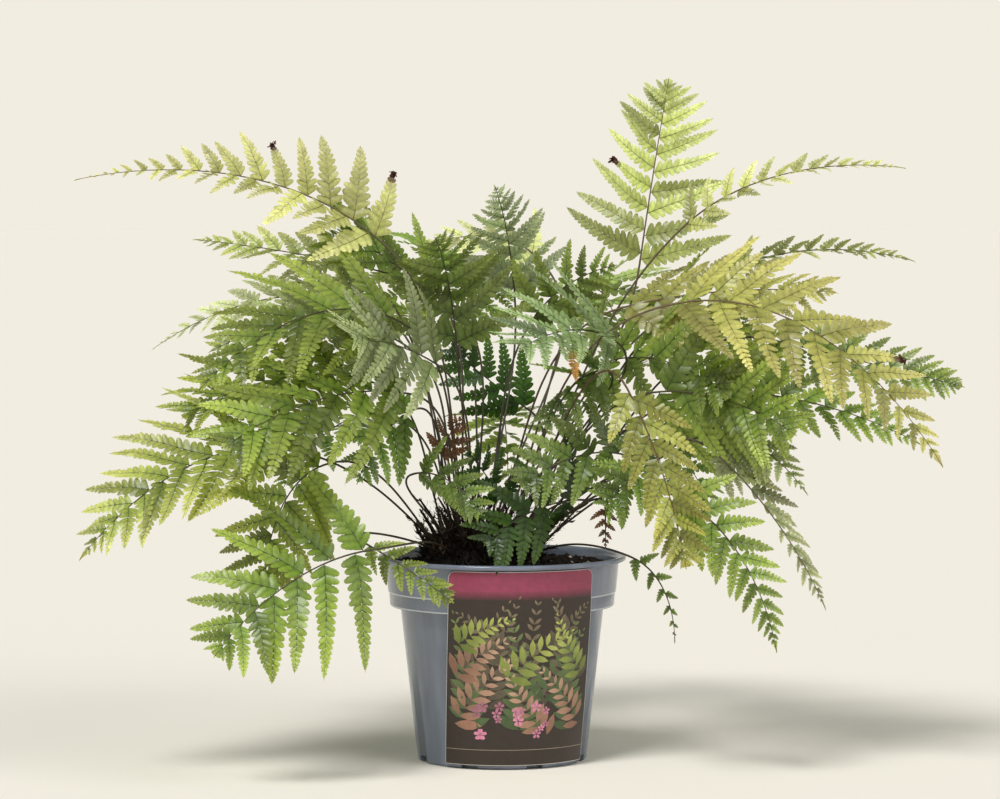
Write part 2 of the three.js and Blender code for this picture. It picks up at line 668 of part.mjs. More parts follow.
// Each leaflet is folded up or down about its midrib, and then shortened, until it crosses nothing.
function clearLeaflets(rows, standing) {
  for (const row of rows) {
    row.leaflets = [];
    for (let pair = 0; pair < row.pairs; pair++) {
      for (const side of [1, -1]) {
        const tries = SHARES.flatMap((share) => FOLDS.map((fold) => ({ share, fold })));
        const fits = tries.find(({ share, fold }) => {
          const swollen = leafletOutline(row, pair, side, fold, share, CLEARANCE);
          return !standing.meets(leafletTriangles(swollen, LEAFLET_THICKNESS / 2 + CLEARANCE), `${row.name} midrib`);
        });
        if (fits) {
          const outline = leafletOutline(row, pair, side, fits.fold, fits.share);
          standing.add(leafletTriangles(outline, LEAFLET_THICKNESS / 2), row.name);
          row.leaflets.push({ pair, side, outline });
        } else {
          console.log(`${row.name} leaves out leaflet ${pair} on side ${side}`);
        }
      }
    }
  }
}

// One frond as a closed body: a four-sided stalk and midrib with thin leaflets grown from its sides.
function frondGeometry(row) {
  const all = row.spine.slice(0, -1);
  const points = [];
  for (const s of all) {
    for (const [a, n] of [[1, 1], [-1, 1], [-1, -1], [1, -1]]) {
      points.push(s.at.clone().addScaledVector(s.across, a * s.half).addScaledVector(s.normal, n * s.half));
    }
  }
  const triangles = [];
  const tri = (...corners) => triangles.push(corners);
  const quad = (a, b, c, d) => triangles.push([a, b, c], [a, c, d]);
  const [RT, LT, LB, RB] = [0, 1, 2, 3];
  quad(LT, RT, RB, LB);
  for (let i = 0; i + 1 < all.length; i++) {
    const a = i * 4;
    const b = a + 4;
    quad(a + RT, a + LT, b + LT, b + RT);
    quad(a + LB, a + RB, b + RB, b + LB);
    for (const side of [1, -1]) {
      const leaflet = row.leaflets.find((l) => l.pair === all[i].pair && l.side === side);
      const T = side > 0 ? RT : LT;
      const B = side > 0 ? RB : LB;
      const turn = (...corners) => tri(...(side > 0 ? corners : corners.reverse()));
      if (!leaflet) {
        turn(a + T, b + T, b + B);
        turn(a + T, b + B, a + B);
        continue;
      }
      const { face, low, high, end } = leaflet.outline;
      const lift = (p, sign) => {
        points.push(p.clone().addScaledVector(face, (sign * LEAFLET_THICKNESS) / 2));
        return points.length - 1;
      };
      const lowTop = [a + T, ...low.map((p) => lift(p, 1))];
      const lowBottom = [a + B, ...low.map((p) => lift(p, -1))];
      const highTop = [b + T, ...high.map((p) => lift(p, 1))];
      const highBottom = [b + B, ...high.map((p) => lift(p, -1))];
      const endTop = lift(end, 1);
      const endBottom = lift(end, -1);
      for (let k = 0; k < low.length; k++) {
        turn(lowTop[k], highTop[k + 1], lowTop[k + 1]);
        turn(lowTop[k], highTop[k], highTop[k + 1]);
        turn(lowBottom[k], lowBottom[k + 1], highBottom[k + 1]);
        turn(lowBottom[k], highBottom[k + 1], highBottom[k]);
        turn(lowTop[k], lowTop[k + 1], lowBottom[k + 1]);
        turn(lowTop[k], lowBottom[k + 1], lowBottom[k]);
        turn(highTop[k + 1], highTop[k], highBottom[k]);
        turn(highTop[k + 1], highBottom[k], highBottom[k + 1]);
      }
      const last = low.length;
      turn(lowTop[last], highTop[last], endTop);
      turn(lowBottom[last], endBottom, highBottom[last]);
      turn(lowTop[last], endTop, endBottom);
      turn(lowTop[last], endBottom, lowBottom[last]);
      turn(endTop, highTop[last], highBottom[last]);
      turn(endTop, highBottom[last], endBottom);
    }
  }
  const end = (all.length - 1) * 4;
  const point = row.spine[all.length];
  points.push(point.at.clone().addScaledVector(point.normal, point.half));
  points.push(point.at.clone().addScaledVector(point.normal, -point.half));
  const tipTop = points.length - 2;
  const tipBottom = points.length - 1;
  tri(end + RT, end + LT, tipTop);
  tri(end + LB, end + RB, tipBottom);
  quad(end + LT, end + LB, tipBottom, tipTop);
  quad(end + RB, end + RT, tipTop, tipBottom);
  return closedGeometry(points, triangles);
}

// The crown: a low rough dome with leaning stubs of old stalks, and a hole for each living stalk.
function crownGeometry(rows) {
  const { x, y, radius, foot, top } = CROWN;
  const random = seeded(19);
  const rise = top - SOIL_LEVEL;
  const rings = [
    { x, y, r: radius, z: foot },
    { x, y, r: radius, z: SOIL_LEVEL + 1.5 },
    { x, y, r: radius * 0.93, z: SOIL_LEVEL + rise * 0.36, rough: 1.2 },
    { x, y, r: radius * 0.74, z: SOIL_LEVEL + rise * 0.67, rough: 1.6 },
    { x, y, r: radius * 0.44, z: SOIL_LEVEL + rise * 0.9, rough: 1.4 },
    { x, y, r: radius * 0.15, z: top, rough: 0.5 },
  ];
  let crown = solidOf(stackedRings(rings, CROWN_SIDES, random));
  for (let i = 0; i < STUBS; i++) {
    const angle = i * 2.4;
    const r = radius * (0.25 + 0.6 * Math.sqrt((i + 0.5) / STUBS));
    const length = 22 + 16 * random();
    const stub = new THREE.CylinderGeometry(0.9, 2.4, length, 4).rotateX(Math.PI / 2);
    stub.translate(0, 0, length / 2 - 8);
    stub.rotateY(degrees(12 + (30 * r) / radius));
    stub.rotateZ(angle);
    const px = x + r * Math.cos(angle);
    const py = y + r * Math.sin(angle);
    stub.translate(px, py, crownHeight(px, py));
    crown = crown.add(solidOf(stub));
  }
  for (const row of rows) {
    const stations = row.spine;
    const from = stations[0];
    const deeper = { ...from, at: from.at.clone().addScaledVector(from.along, -GAP) };
    crown = crown.subtract(solidOf(barGeometry([deeper, ...stations.slice(1, 3)], GAP)));
  }
  return geometryOf(largestBody(crown.simplify(0.08)));
}

const plant = new THREE.Group();
plant.name = "potted_fern";

const potMaterial = finish(0x6f7884, 0.38);
plant.add(mesh("pot", potGeometry(), potMaterial));
plant.add(mesh("label_card", cardGeometry(), finish(0x6b3f46, 0.35)));
plant.add(mesh("soil", soilGeometry(), finish(0x1d1512, 0.95)));

const rows = plannedFronds();
const crown = crownGeometry(rows);
plant.add(mesh("crown", crown, finish(0x2b1c16, 0.9)));

const standing = new Standing(18);
plant.children.forEach((piece) => standing.add(geometryTriangles(piece.geometry), piece.name));
for (const row of rows) {
  const split = row.spine.length - 2 * row.pairs - 2;
  standing.add(geometryTriangles(barGeometry(row.spine.slice(0, split + 1), 0)), `${row.name} stalk`);
  standing.add(geometryTriangles(barGeometry(row.spine.slice(split), 0)), `${row.name} midrib`);
}
clearLeaflets(rows, standing);
for (const row of rows) {
  plant.add(mesh(`frond_${row.name}`, frondGeometry(row), finish(TINTS[row.tint], 0.55)));
}

export default plant;
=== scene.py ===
"""A potted autumn fern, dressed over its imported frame.

Every frond is grown again with finely cut leaflets on the same stalk, midrib and leaflet
directions as its plain solid. The pot, card, soil and crown are finer pieces over theirs.
Lengths are in millimetres until a mesh is made, which scales them to metres.
"""

import math

import bpy
import numpy as np
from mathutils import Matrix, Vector
from mathutils.kdtree import KDTree


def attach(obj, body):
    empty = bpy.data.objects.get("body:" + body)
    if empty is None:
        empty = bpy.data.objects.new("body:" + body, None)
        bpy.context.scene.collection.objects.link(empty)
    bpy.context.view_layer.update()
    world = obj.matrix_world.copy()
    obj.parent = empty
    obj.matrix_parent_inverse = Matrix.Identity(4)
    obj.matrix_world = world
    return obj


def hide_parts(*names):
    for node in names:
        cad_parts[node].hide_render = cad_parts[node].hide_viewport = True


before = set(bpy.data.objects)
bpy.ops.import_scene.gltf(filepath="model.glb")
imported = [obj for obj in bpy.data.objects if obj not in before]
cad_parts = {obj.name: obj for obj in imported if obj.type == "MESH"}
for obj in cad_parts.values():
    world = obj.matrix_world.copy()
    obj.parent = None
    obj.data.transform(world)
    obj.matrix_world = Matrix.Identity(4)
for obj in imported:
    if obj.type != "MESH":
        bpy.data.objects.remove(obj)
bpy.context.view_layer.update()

MM = 0.001

# Pot and card, as in the part.
RIM_RADIUS = 85
POT_HEIGHT = 140
COLLAR_TOP_RADIUS = 80
COLLAR_FOOT_RADIUS = 76.8
COLLAR_FOOT = 106
COLLAR_BEAD = 114.5
WALL_TOP_RADIUS = 69.6
FOOT_RADIUS = 58
WALL = 1.6
FLOOR = 3
POT_SIDES = 144
SLOTS = 8
SLOT_WIDTH = 11
SLOT_TOP = 4.5
CARD_WIDTH = 105
CARD_FOOT = 3
CARD_TOP = 135.5
CARD_STAND_OFF = 0.9
CARD_THICKNESS = 0.5
CARD_CORNER = 5
CARD_TURN = math.radians(11)

# Soil, crown and roots, as in the part, and the detail that is added here.
SOIL_LEVEL = 133
CROWN_X = -14
CROWN_Y = 4
CROWN_RADIUS = 41
CROWN_TOP = 157
ROOT_SPREAD = 34
ROOT_SPACING = 7
ROOT_DEPTH = 7
CROWN_SEED = 77
SOIL_SEED = 31
STUBS = 46
STUB_ANGLE = 2.4
CROWN_SCALES = 2600
CRUMBS = 2800

# Stalks and leaflets, as in the part.
FROND_SEED = 500
STALK_SIDES = 7
STALK_STEPS = 4
STALK_HALF = 0.95
LEAFLET_HALF_THICKNESS = 0.35
LEAFLET_TIP_SWING = 44
CLOSING = 1.35
CROWDING = 1.5
BLADE_LEAD = 0.36
STALK_LEAD = 0.38
DROOP = 0.12
LAST_LEAFLET = 0.955

# Facings that several blades share.
OPEN = (0, -0.75, 0.65)
LEFT = (-0.25, -0.6, 0.75)
AWAY = (0, 0.35, 0.95)

# One row for each frond: name, blade base, blade tip, the midrib's slope in degrees as it
# leaves the stalk, the longest leaflet, how soon the leaflets shorten towards the tip, how far the
# lowest leaflets swing out from the midrib in degrees, pairs of leaflets in the solid, the way
# the blade faces, how far the leaflets fold up in degrees, pairs of leaflets shown here, and the
# blade's colour.
FRONDS = [
    ("left_crest", (-84, 10, 355), (-287, -38, 396), 41, 60, 1.28, 60, 9, (-0.41, -0.64, 0.65), 20, 17, "young"),
    ("left_back", (-70, 60, 329), (-216, 77, 355), 15, 49, 0.93, 53, 6, (0.05, -0.65, 0.76), 10, 12, "lime"),
    ("left_pale", (-100, 50, 311), (-243, 47, 279), 17, 56, 1.14, 60, 7, (-0.14, -0.44, 0.89), 12, 12, "pale"),
    ("left_olive", (-74, -31, 303), (-200, -94, 257), 22, 89, 0.87, 56, 7, LEFT, 4, 10, "fresh"),
    ("left_mid", (-69, 4, 285), (-198, -23, 280), 31, 60, 0.85, 62, 6, (-0.1, -0.65, 0.75), 8, 10, "lime"),
    ("left_comb", (-88, -2, 258), (-214, -53, 237), 18, 73, 0.46, 53, 7, (-0.56, -0.66, 0.51), 6, 10, "fresh"),
    ("left_front", (-61, -61, 253), (-179, -152, 223), 11, 79, 0.49, 56, 7, (-0.09, -0.86, 0.5), 0, 9, "fresh"),
    ("left_long", (-134, -56, 214), (-277, -113, 147), 16, 96, 0.95, 57, 8, (-0.28, -0.64, 0.72), 4, 12, "bright"),
    ("left_drop", (-118, -81, 207), (-156, -106, 126), -15, 58, 0.49, 78, 6, (0.04, -0.98, 0.21), 0, 8, "fresh"),
    ("left_low", (-86, -111, 153), (-185, -159, 89), -5, 92, 0.76, 76, 7, (-0.04, -0.95, 0.32), 0, 8, "fresh"),
    ("left_lip", (-90, -88, 155), (-33, -109, 119), -26, 22, 0.55, 59, 5, (0.08, -0.94, 0.34), 0, 9, "fresh"),
    ("left_mass", (-42, -46, 271), (-97, -116, 293), 25, 59, 0.45, 68, 5, (-0.09, -0.93, 0.35), 0, 8, "silver"),
    ("left_inner", (-60, -33, 241), (-96, -75, 195), -14, 50, 0.85, 62, 5, (0.29, -0.94, 0.18), 0, 6, "mature"),
    ("mid_crest", (9, 69, 314), (-5, -2, 392), 71, 48, 0.97, 61, 7, (0.21, -0.98, 0.03), 4, 11, "frost"),
    ("mid_arch", (24, 98, 343), (-58, 85, 348), 43, 39, 0.86, 69, 4, (0.13, -0.65, 0.75), 10, 8, "pale"),
    ("mid_face", (-31, -7, 282), (-44, -82, 357), 70, 61, 0.77, 71, 7, (-0.03, -0.95, 0.3), 0, 9, "mature"),
    ("mid_left", (-43, 39, 317), (-116, 15, 369), 32, 61, 0.45, 50, 6, (0.18, -0.61, 0.77), 10, 8, "fresh"),
    ("mid_right", (20, 38, 298), (77, 0, 338), 54, 46, 0.82, 62, 5, (0.14, -0.99, 0.06), 0, 7, "mature"),
    ("mid_shade", (19, 77, 235), (-36, 63, 279), 35, 40, 0.47, 56, 5, (0.09, -0.99, -0.15), 0, 6, "deep"),
    ("mid_inner", (68, -20, 267), (30, -66, 230), 1, 43, 0.63, 73, 5, (0.03, -0.91, 0.42), 0, 6, "mature"),
    ("mid_small", (-59, -51, 199), (-14, -85, 175), 13, 30, 0.49, 57, 4, (0.01, -1, 0.01), 0, 6, "mature"),
    ("mid_new", (-41, -25, 207), (-28, -32, 236), 78, 22, 0.85, 60, 4, (0.05, -0.83, 0.56), 0, 5, "brown"),
    ("mid_low", (2, -15, 175), (-23, -53, 214), 46, 29, 0.57, 68, 4, (-0.22, -0.83, 0.52), 0, 5, "deep"),
    ("right_crest", (95, 30, 338), (115, 31, 466), 82, 67, 0.72, 60, 10, (-0.29, -0.94, 0.16), 0, 12, "young"),
    ("right_edge", (124, 9, 364), (272, -27, 404), 43, 28, 0.81, 63, 8, (0.3, -0.51, 0.8), 20, 16, "young"),
    ("right_back", (149, 29, 330), (281, -2, 341), 29, 26, 0.75, 59, 8, (0.1, -0.49, 0.87), 20, 16, "lime"),
    ("right_gold", (115, -55, 313), (289, -109, 208), 12, 80, 0.85, 66, 9, (-0.19, -0.53, 0.82), 4, 12, "gold"),
    ("right_high", (82, 1, 309), (226, -23, 320), 15, 55, 0.76, 59, 7, OPEN, 0, 11, "gold"),
    ("right_far", (187, 32, 286), (313, -14, 256), -12, 37, 0.57, 73, 8, (0.08, -0.8, 0.59), 8, 14, "mature"),
    ("right_hang", (112, -88, 188), (180, -115, 87), -21, 41, 0.85, 51, 8, (0.18, -0.98, -0.1), 0, 12, "fresh"),
    ("right_long", (142, -58, 214), (213, -101, 114), -36, 38, 0.99, 34, 8, (0.16, -0.65, 0.74), 0, 13, "dusty"),
    ("right_old", (82, -105, 259), (119, -142, 145), -53, 40, 0.49, 43, 8, (-0.09, -0.96, 0.28), 0, 11, "old"),
    ("right_weak", (87, -28, 141), (117, -34, 84), -21, 16, 0.92, 61, 4, (0.26, -0.97, 0.01), 0, 6, "mature"),
    ("right_inner", (82, -54, 212), (13, -88, 193), 14, 42, 0.49, 57, 6, (0.19, -0.91, 0.37), 0, 6, "mature"),
    ("right_low", (103, -59, 208), (68, -101, 181), -19, 39, 0.51, 49, 5, (0.15, -0.99, -0), 0, 6, "mature"),
    ("right_lip", (53, -46, 181), (-11, -78, 154), 2, 48, 0.45, 76, 5, (0.1, -0.97, 0.21), 0, 6, "deep"),
    ("right_dead", (70, -27, 174), (70, -36, 148), -50, 12, 0.96, 60, 4, (-0.08, -0.99, 0.1), 0, 5, "brown"),
    ("right_silver", (77, -23, 287), (13, -99, 285), 24, 68, 0.5, 58, 7, (-0.08, -0.83, 0.55), 6, 9, "silver"),
    ("right_green", (102, -39, 253), (193, -93, 228), 8, 76, 0.71, 68, 7, (0.14, -0.99, -0.07), 0, 9, "fresh"),
    ("right_wide", (149, 4, 251), (284, -20, 217), 2, 46, 0.88, 57, 7, (0.03, -0.81, 0.58), 6, 12, "fresh"),
    ("right_under", (133, -42, 223), (202, -85, 188), 18, 49, 1.1, 56, 6, (0.03, -0.76, 0.65), 0, 9, "dusty"),
    ("right_mass", (54, 38, 259), (151, -76, 252), 32, 70, 0.57, 61, 6, (-0.28, -0.92, 0.28), 0, 9, "mature"),
    ("right_shade", (84, 55, 262), (174, 42, 296), 34, 58, 0.85, 62, 5, (-0.17, -0.33, 0.93), 8, 9, "fresh"),
    ("back_left", (-76, 104, 306), (-146, 223, 250), 37, 76, 0.5, 69, 4, (0.26, 0.31, 0.91), 6, 9, "fresh"),
    ("back_mid", (-22, 116, 326), (-30, 256, 277), 46, 75, 0.47, 56, 4, (0.02, 0.61, 0.79), 6, 9, "mature"),
    ("back_right", (53, 113, 313), (92, 244, 274), 25, 73, 0.47, 59, 4, (-0.28, 0.12, 0.95), 6, 9, "lime"),
    ("back_far_right", (105, 95, 293), (200, 182, 235), 32, 73, 0.75, 62, 4, (-0.24, 0.56, 0.79), 6, 9, "fresh"),
    ("back_low_left", (-80, 120, 228), (-165, 190, 163), 10, 58, 0.85, 62, 4, AWAY, 4, 8, "mature"),
    ("back_low_mid", (0, 130, 228), (5, 235, 168), 10, 60, 0.85, 62, 4, AWAY, 4, 8, "fresh"),
    ("back_low_right", (85, 110, 218), (155, 185, 153), 10, 58, 0.85, 62, 4, AWAY, 4, 8, "mature"),
]

# Blade colours: near the midrib, at the leaflets' tips, and of the midrib, all in linear light.
COLOURS = {
    "young": ((0.37, 0.37, 0.11), (0.60, 0.56, 0.27), (0.17, 0.13, 0.06)),
    "pale": ((0.42, 0.44, 0.20), (0.62, 0.62, 0.38), (0.22, 0.18, 0.10)),
    "lime": ((0.20, 0.26, 0.065), (0.38, 0.41, 0.17), (0.12, 0.10, 0.05)),
    "bright": ((0.15, 0.20, 0.03), (0.44, 0.44, 0.13), (0.07, 0.05, 0.025)),
    "fresh": ((0.095, 0.155, 0.018), (0.32, 0.365, 0.075), (0.08, 0.075, 0.03)),
    "mature": ((0.075, 0.13, 0.018), (0.25, 0.32, 0.075), (0.06, 0.055, 0.025)),
    # deep: the leaf green darkened for fronds deep inside the plant near the crown, painted shade.
    "deep": ((0.022, 0.060, 0.008), (0.07, 0.14, 0.02), (0.04, 0.035, 0.02)),
    # silver and frost: partly the leaves' own pale grey-green and partly painted sheen, made whiter to stand for
    # light reflected off the glossy leaves.
    "silver": ((0.17, 0.235, 0.095), (0.40, 0.47, 0.25), (0.08, 0.08, 0.04)),
    "frost": ((0.28, 0.35, 0.18), (0.60, 0.66, 0.43), (0.09, 0.09, 0.05)),
    "dusty": ((0.16, 0.20, 0.075), (0.37, 0.39, 0.20), (0.12, 0.10, 0.05)),
    "gold": ((0.25, 0.26, 0.06), (0.48, 0.44, 0.16), (0.18, 0.12, 0.05)),
    "old": ((0.19, 0.22, 0.045), (0.38, 0.36, 0.09), (0.15, 0.08, 0.03)),
    "brown": ((0.10, 0.05, 0.02), (0.20, 0.085, 0.03), (0.06, 0.03, 0.015)),
}
STALK_DARK = np.array((0.028, 0.018, 0.012))
STALK_SCALE = np.array((0.055, 0.031, 0.018))
CROWN_TONE = np.array((0.007, 0.005, 0.004))
STUB_TONE = np.array((0.020, 0.013, 0.008))
STUB_SCALE = np.array((0.030, 0.018, 0.011))
CROWN_SCALE = np.array((0.020, 0.012, 0.008))
PEAT_TONE = np.array((0.017, 0.011, 0.008))
CRUMB_TONE = np.array((0.022, 0.014, 0.010))
GRIT_TONE = np.array((0.42, 0.40, 0.35))
WITHERED_COLOUR = np.array((0.075, 0.022, 0.016))

# Leaflets whose end has dried up and curled: frond, pair from the base, and side.
WITHERED = {
    ("left_crest", 0, -1),
    ("left_crest", 4, -1),
    ("right_crest", 3, 1),
    ("right_gold", 5, 1),
    ("right_wide", 1, -1),
}

# How much further the leaflets of these fronds swing out here than in the solid, in degrees.
SPLAY = {"right_crest": 13, "left_crest": 8}

# Leaflets whose outer half has turned amber.
AMBER_ENDS = {("right_silver", 3, 1)}
AMBER = np.array((0.52, 0.24, 0.07))

# What the solids chose from: bows for the stalks, folds and shares of length for the leaflets.
BOWS = (0, 5, -5, 10, -10, 15, -15, 20, -20, 26, -26, 32, -32)
FOLDS = (0, 10, -10, 20, -20, 30, -30, 42, -42, 55, -55)
SHARES = (1, 0.85, 0.7, 0.55, 0.4)


def polar(r, angle, z):
    """Points at a radius and an angle round the Z axis, at height z."""
    x, y = r * np.cos(angle), r * np.sin(angle)
    return np.stack([x, y, z + 0 * x], -1)


def round_angles(count):
    """Evenly spaced angles round a full turn."""
    return np.arange(count) / count * 2 * math.pi


def rolled(face, way, angle):
    """face turned about way, which it is square to."""
    return face * np.cos(angle) + np.cross(way, face) * np.sin(angle)


def copied(faces, count, vertices):
    """The triangles of count copies of a form that has so many vertices."""
    return (np.arange(count)[:, None, None] * vertices + faces).reshape(-1, 3)


def unit(v):
    v = np.asarray(v, float)
    return v / np.linalg.norm(v, axis=-1, keepdims=True)


class Curve:
    """A cubic Bezier curve through four control points."""

    def __init__(self, *points):
        self.p = np.array(points, float)

    def at(self, t):
        t = np.asarray(t, float)[..., None]
        u = 1 - t
        p = self.p
        return u**3 * p[0] + 3 * u * u * t * p[1] + 3 * u * t * t * p[2] + t**3 * p[3]

    def along(self, t):
        t = np.asarray(t, float)[..., None]
        u = 1 - t
        d = np.diff(self.p, axis=0)
        return unit(u * u * d[0] + 2 * u * t * d[1] + t * t * d[2])


def new_mesh(name, vertices, faces, materials, colours=None, smooth=True, slots=None):
    """A mesh object from millimetre vertices. faces is an array, or a list of polygons."""
    mesh = bpy.data.meshes.new(name)
    vertices = np.asarray(vertices, np.float64).reshape(-1, 3) * MM
    if isinstance(faces, np.ndarray):
        corners = faces.astype(np.int32).ravel()
        starts = np.arange(len(faces), dtype=np.int32) * faces.shape[1]
        mesh.vertices.add(len(vertices))
        mesh.vertices.foreach_set("co", vertices.astype(np.float32).ravel())
        mesh.loops.add(len(corners))
        mesh.loops.foreach_set("vertex_index", corners)
        mesh.polygons.add(len(faces))
        mesh.polygons.foreach_set("loop_start", starts)
    else:
        mesh.from_pydata(vertices.tolist(), [], faces)
    mesh.update(calc_edges=True)
    mesh.validate()
    for material in materials:
        mesh.materials.append(material)
    if slots is not None:
        mesh.polygons.foreach_set("material_index", np.asarray(slots, np.int32))
    mesh.polygons.foreach_set("use_smooth", np.full(len(mesh.polygons), smooth))
    if colours is not None:
        layer = mesh.color_attributes.new("tint", "FLOAT_COLOR", "POINT")
        rgba = np.ones((len(vertices), 4), np.float32)
        rgba[:, :3] = colours
        layer.data.foreach_set("color", rgba.ravel())
    obj = bpy.data.objects.new(name, mesh)
    bpy.context.scene.collection.objects.link(obj)
    return obj


class Shape:
    """Gathers triangles with a colour at each vertex."""

    def __init__(self):
        self.vertices, self.faces, self.colours, self.slots = [], [], [], []
        self.count = 0

    def add(self, vertices, faces, colours, slot=0):
        vertices = np.asarray(vertices, float).reshape(-1, 3)
        self.vertices.append(vertices)
        self.faces.append(np.asarray(faces) + self.count)
        self.colours.append(np.broadcast_to(colours, vertices.shape))
        self.slots.append(np.full(len(faces), slot))
        self.count += len(vertices)

    def build(self, name, materials, smooth=True):
        return new_mesh(
            name,
            np.concatenate(self.vertices),
            np.concatenate(self.faces),
            materials,
            np.concatenate(self.colours),
            smooth,
            np.concatenate(self.slots),
        )


def tube(path, radii, sides):
    """Vertices and triangles of a round bar along a path, closed with a point at each end."""
    path = np.asarray(path, float)
    way = unit(np.gradient(path, axis=0))
    side = np.cross(way[0], (0.3, 0.2, 0.93))
    angles = round_angles(sides)
    rings = []
    for point, direction, radius in zip(path, way, radii):
        side = unit(side - direction * np.dot(side, direction))
        up = np.cross(direction, side)
        spokes = np.cos(angles)[:, None] * side + np.sin(angles)[:, None] * up
        rings.append(point + radius * spokes)
    vertices = np.concatenate(rings + [path[:1], path[-1:]])
    k = np.arange(sides)
    beside = (k + 1) % sides
    end = (len(path) - 1) * sides
    first_cap = np.stack([np.full(sides, len(vertices) - 2), beside, k], 1)
    last_cap = np.stack([np.full(sides, len(vertices) - 1), end + k, end + beside], 1)
    return vertices, np.concatenate([ring_faces(len(path), sides), first_cap, last_cap])


def ring_faces(rows, sides):
    """Triangles that join closed rows of points, each row with the same number of sides."""
    k = np.arange(sides)
    starts = np.arange(rows - 1)[:, None] * sides
    here, beside = starts + k, starts + (k + 1) % sides
    lower = np.stack([here, beside, beside + sides], -1)
    upper = np.stack([here, beside + sides, here + sides], -1)
    return np.concatenate([lower.reshape(-1, 3), upper.reshape(-1, 3)])


# The materials. A tinted one reads its colour from the mesh, so that it serves every shade.


def shader(name, roughness, specular=0.5):
    material = bpy.data.materials.new(name)
    material.use_nodes = True
    nodes = material.node_tree.nodes
    principled = nodes["Principled BSDF"]
    principled.inputs["Roughness"].default_value = roughness
    principled.inputs["Specular IOR Level"].default_value = specular
    return material, nodes, material.node_tree.links, principled


def noise_of(nodes, links, scale, detail=2, place=None):
    """A noise pattern of the given scale per metre, at a place other than the default if given."""
    noise = nodes.new("ShaderNodeTexNoise")
    noise.inputs["Scale"].default_value = scale
    noise.inputs["Detail"].default_value = detail
    if place:
        links.new(place, noise.inputs["Vector"])
    return noise.outputs["Fac"]


def two_tones(nodes, links, source, tones, ends=(0, 1)):
    """The source value as a colour between two tones, which it reaches at the two ends."""
    ramp = nodes.new("ShaderNodeValToRGB")
    for element, tone, end in zip(ramp.color_ramp.elements, tones, ends):
        element.position = end
        element.color = (*tone, 1)
    links.new(source, ramp.inputs["Fac"])
    return ramp.outputs["Color"]


def mottled(nodes, links, source, scale, low, high):
    """The source colour, made darker and lighter in patches, and the noise that does it."""
    coordinates = nodes.new("ShaderNodeTexCoord")
    noise = noise_of(nodes, links, scale, 3, coordinates.outputs["Object"])
    ramp = nodes.new("ShaderNodeMapRange")
    ramp.inputs["From Min"].default_value = 0.3
    ramp.inputs["From Max"].default_value = 0.7
    ramp.inputs["To Min"].default_value = low
    ramp.inputs["To Max"].default_value = high
    links.new(noise, ramp.inputs["Value"])
    mix = nodes.new("ShaderNodeVectorMath")
    mix.operation = "SCALE"
    links.new(source, mix.inputs[0])
    links.new(ramp.outputs["Result"], mix.inputs["Scale"])
    return mix.outputs["Vector"], noise


def bumpy(nodes, links, noise, principled, strength, distance):
    bump = nodes.new("ShaderNodeBump")
    bump.inputs["Strength"].default_value = strength
    bump.inputs["Distance"].default_value = distance
    links.new(noise, bump.inputs["Height"])
    links.new(bump.outputs["Normal"], principled.inputs["Normal"])


def tint_of(nodes):
    attribute = nodes.new("ShaderNodeAttribute")
    attribute.attribute_name = "tint"
    return attribute.outputs["Color"]


def leaf_material(name, roughness, glow):
    """Thin leaf: a satin surface, and a share of the light passes through it."""
    material, nodes, links, principled = shader(name, roughness)
    colour, noise = mottled(nodes, links, tint_of(nodes), 420, 0.82, 1.16)
    links.new(colour, principled.inputs["Base Color"])
    bumpy(nodes, links, noise, principled, 0.25, 0.0006)
    through = nodes.new("ShaderNodeVectorMath")
    through.operation = "MULTIPLY"
    through.inputs[1].default_value = (1.35, 1.5, 0.8)
    links.new(colour, through.inputs[0])
    translucent = nodes.new("ShaderNodeBsdfTranslucent")
    links.new(through.outputs["Vector"], translucent.inputs["Color"])
    mix = nodes.new("ShaderNodeMixShader")
    mix.inputs["Fac"].default_value = glow
    links.new(principled.outputs["BSDF"], mix.inputs[1])
    links.new(translucent.outputs["BSDF"], mix.inputs[2])
    links.new(mix.outputs["Shader"], nodes["Material Output"].inputs["Surface"])
    return material


def tinted_material(name, roughness, scale, strength, distance, specular=0.4, spread=0.3):
    material, nodes, links, principled = shader(name, roughness, specular)
    colour, noise = mottled(nodes, links, tint_of(nodes), scale, 1 - spread, 1 + spread)
    links.new(colour, principled.inputs["Base Color"])
    bumpy(nodes, links, noise, principled, strength, distance)
    return material


# The fronds.


def slope_direction(base, tip, lift):
    along = np.array((tip[0] - base[0], tip[1] - base[1], 0.0))
    along = unit(along) * math.cos(math.radians(lift))
    along[2] = math.sin(math.radians(lift))
    return along


def crown_height(x, y):
    away = math.hypot(x - CROWN_X, y - CROWN_Y) / CROWN_RADIUS
    return SOIL_LEVEL + (CROWN_TOP - SOIL_LEVEL) * math.sqrt(max(0, 1 - away * away))


def steepness(base):
    rise = base[2] - SOIL_LEVEL
    return rise / math.hypot(rise, math.hypot(base[0] - CROWN_X, base[1] - CROWN_Y))


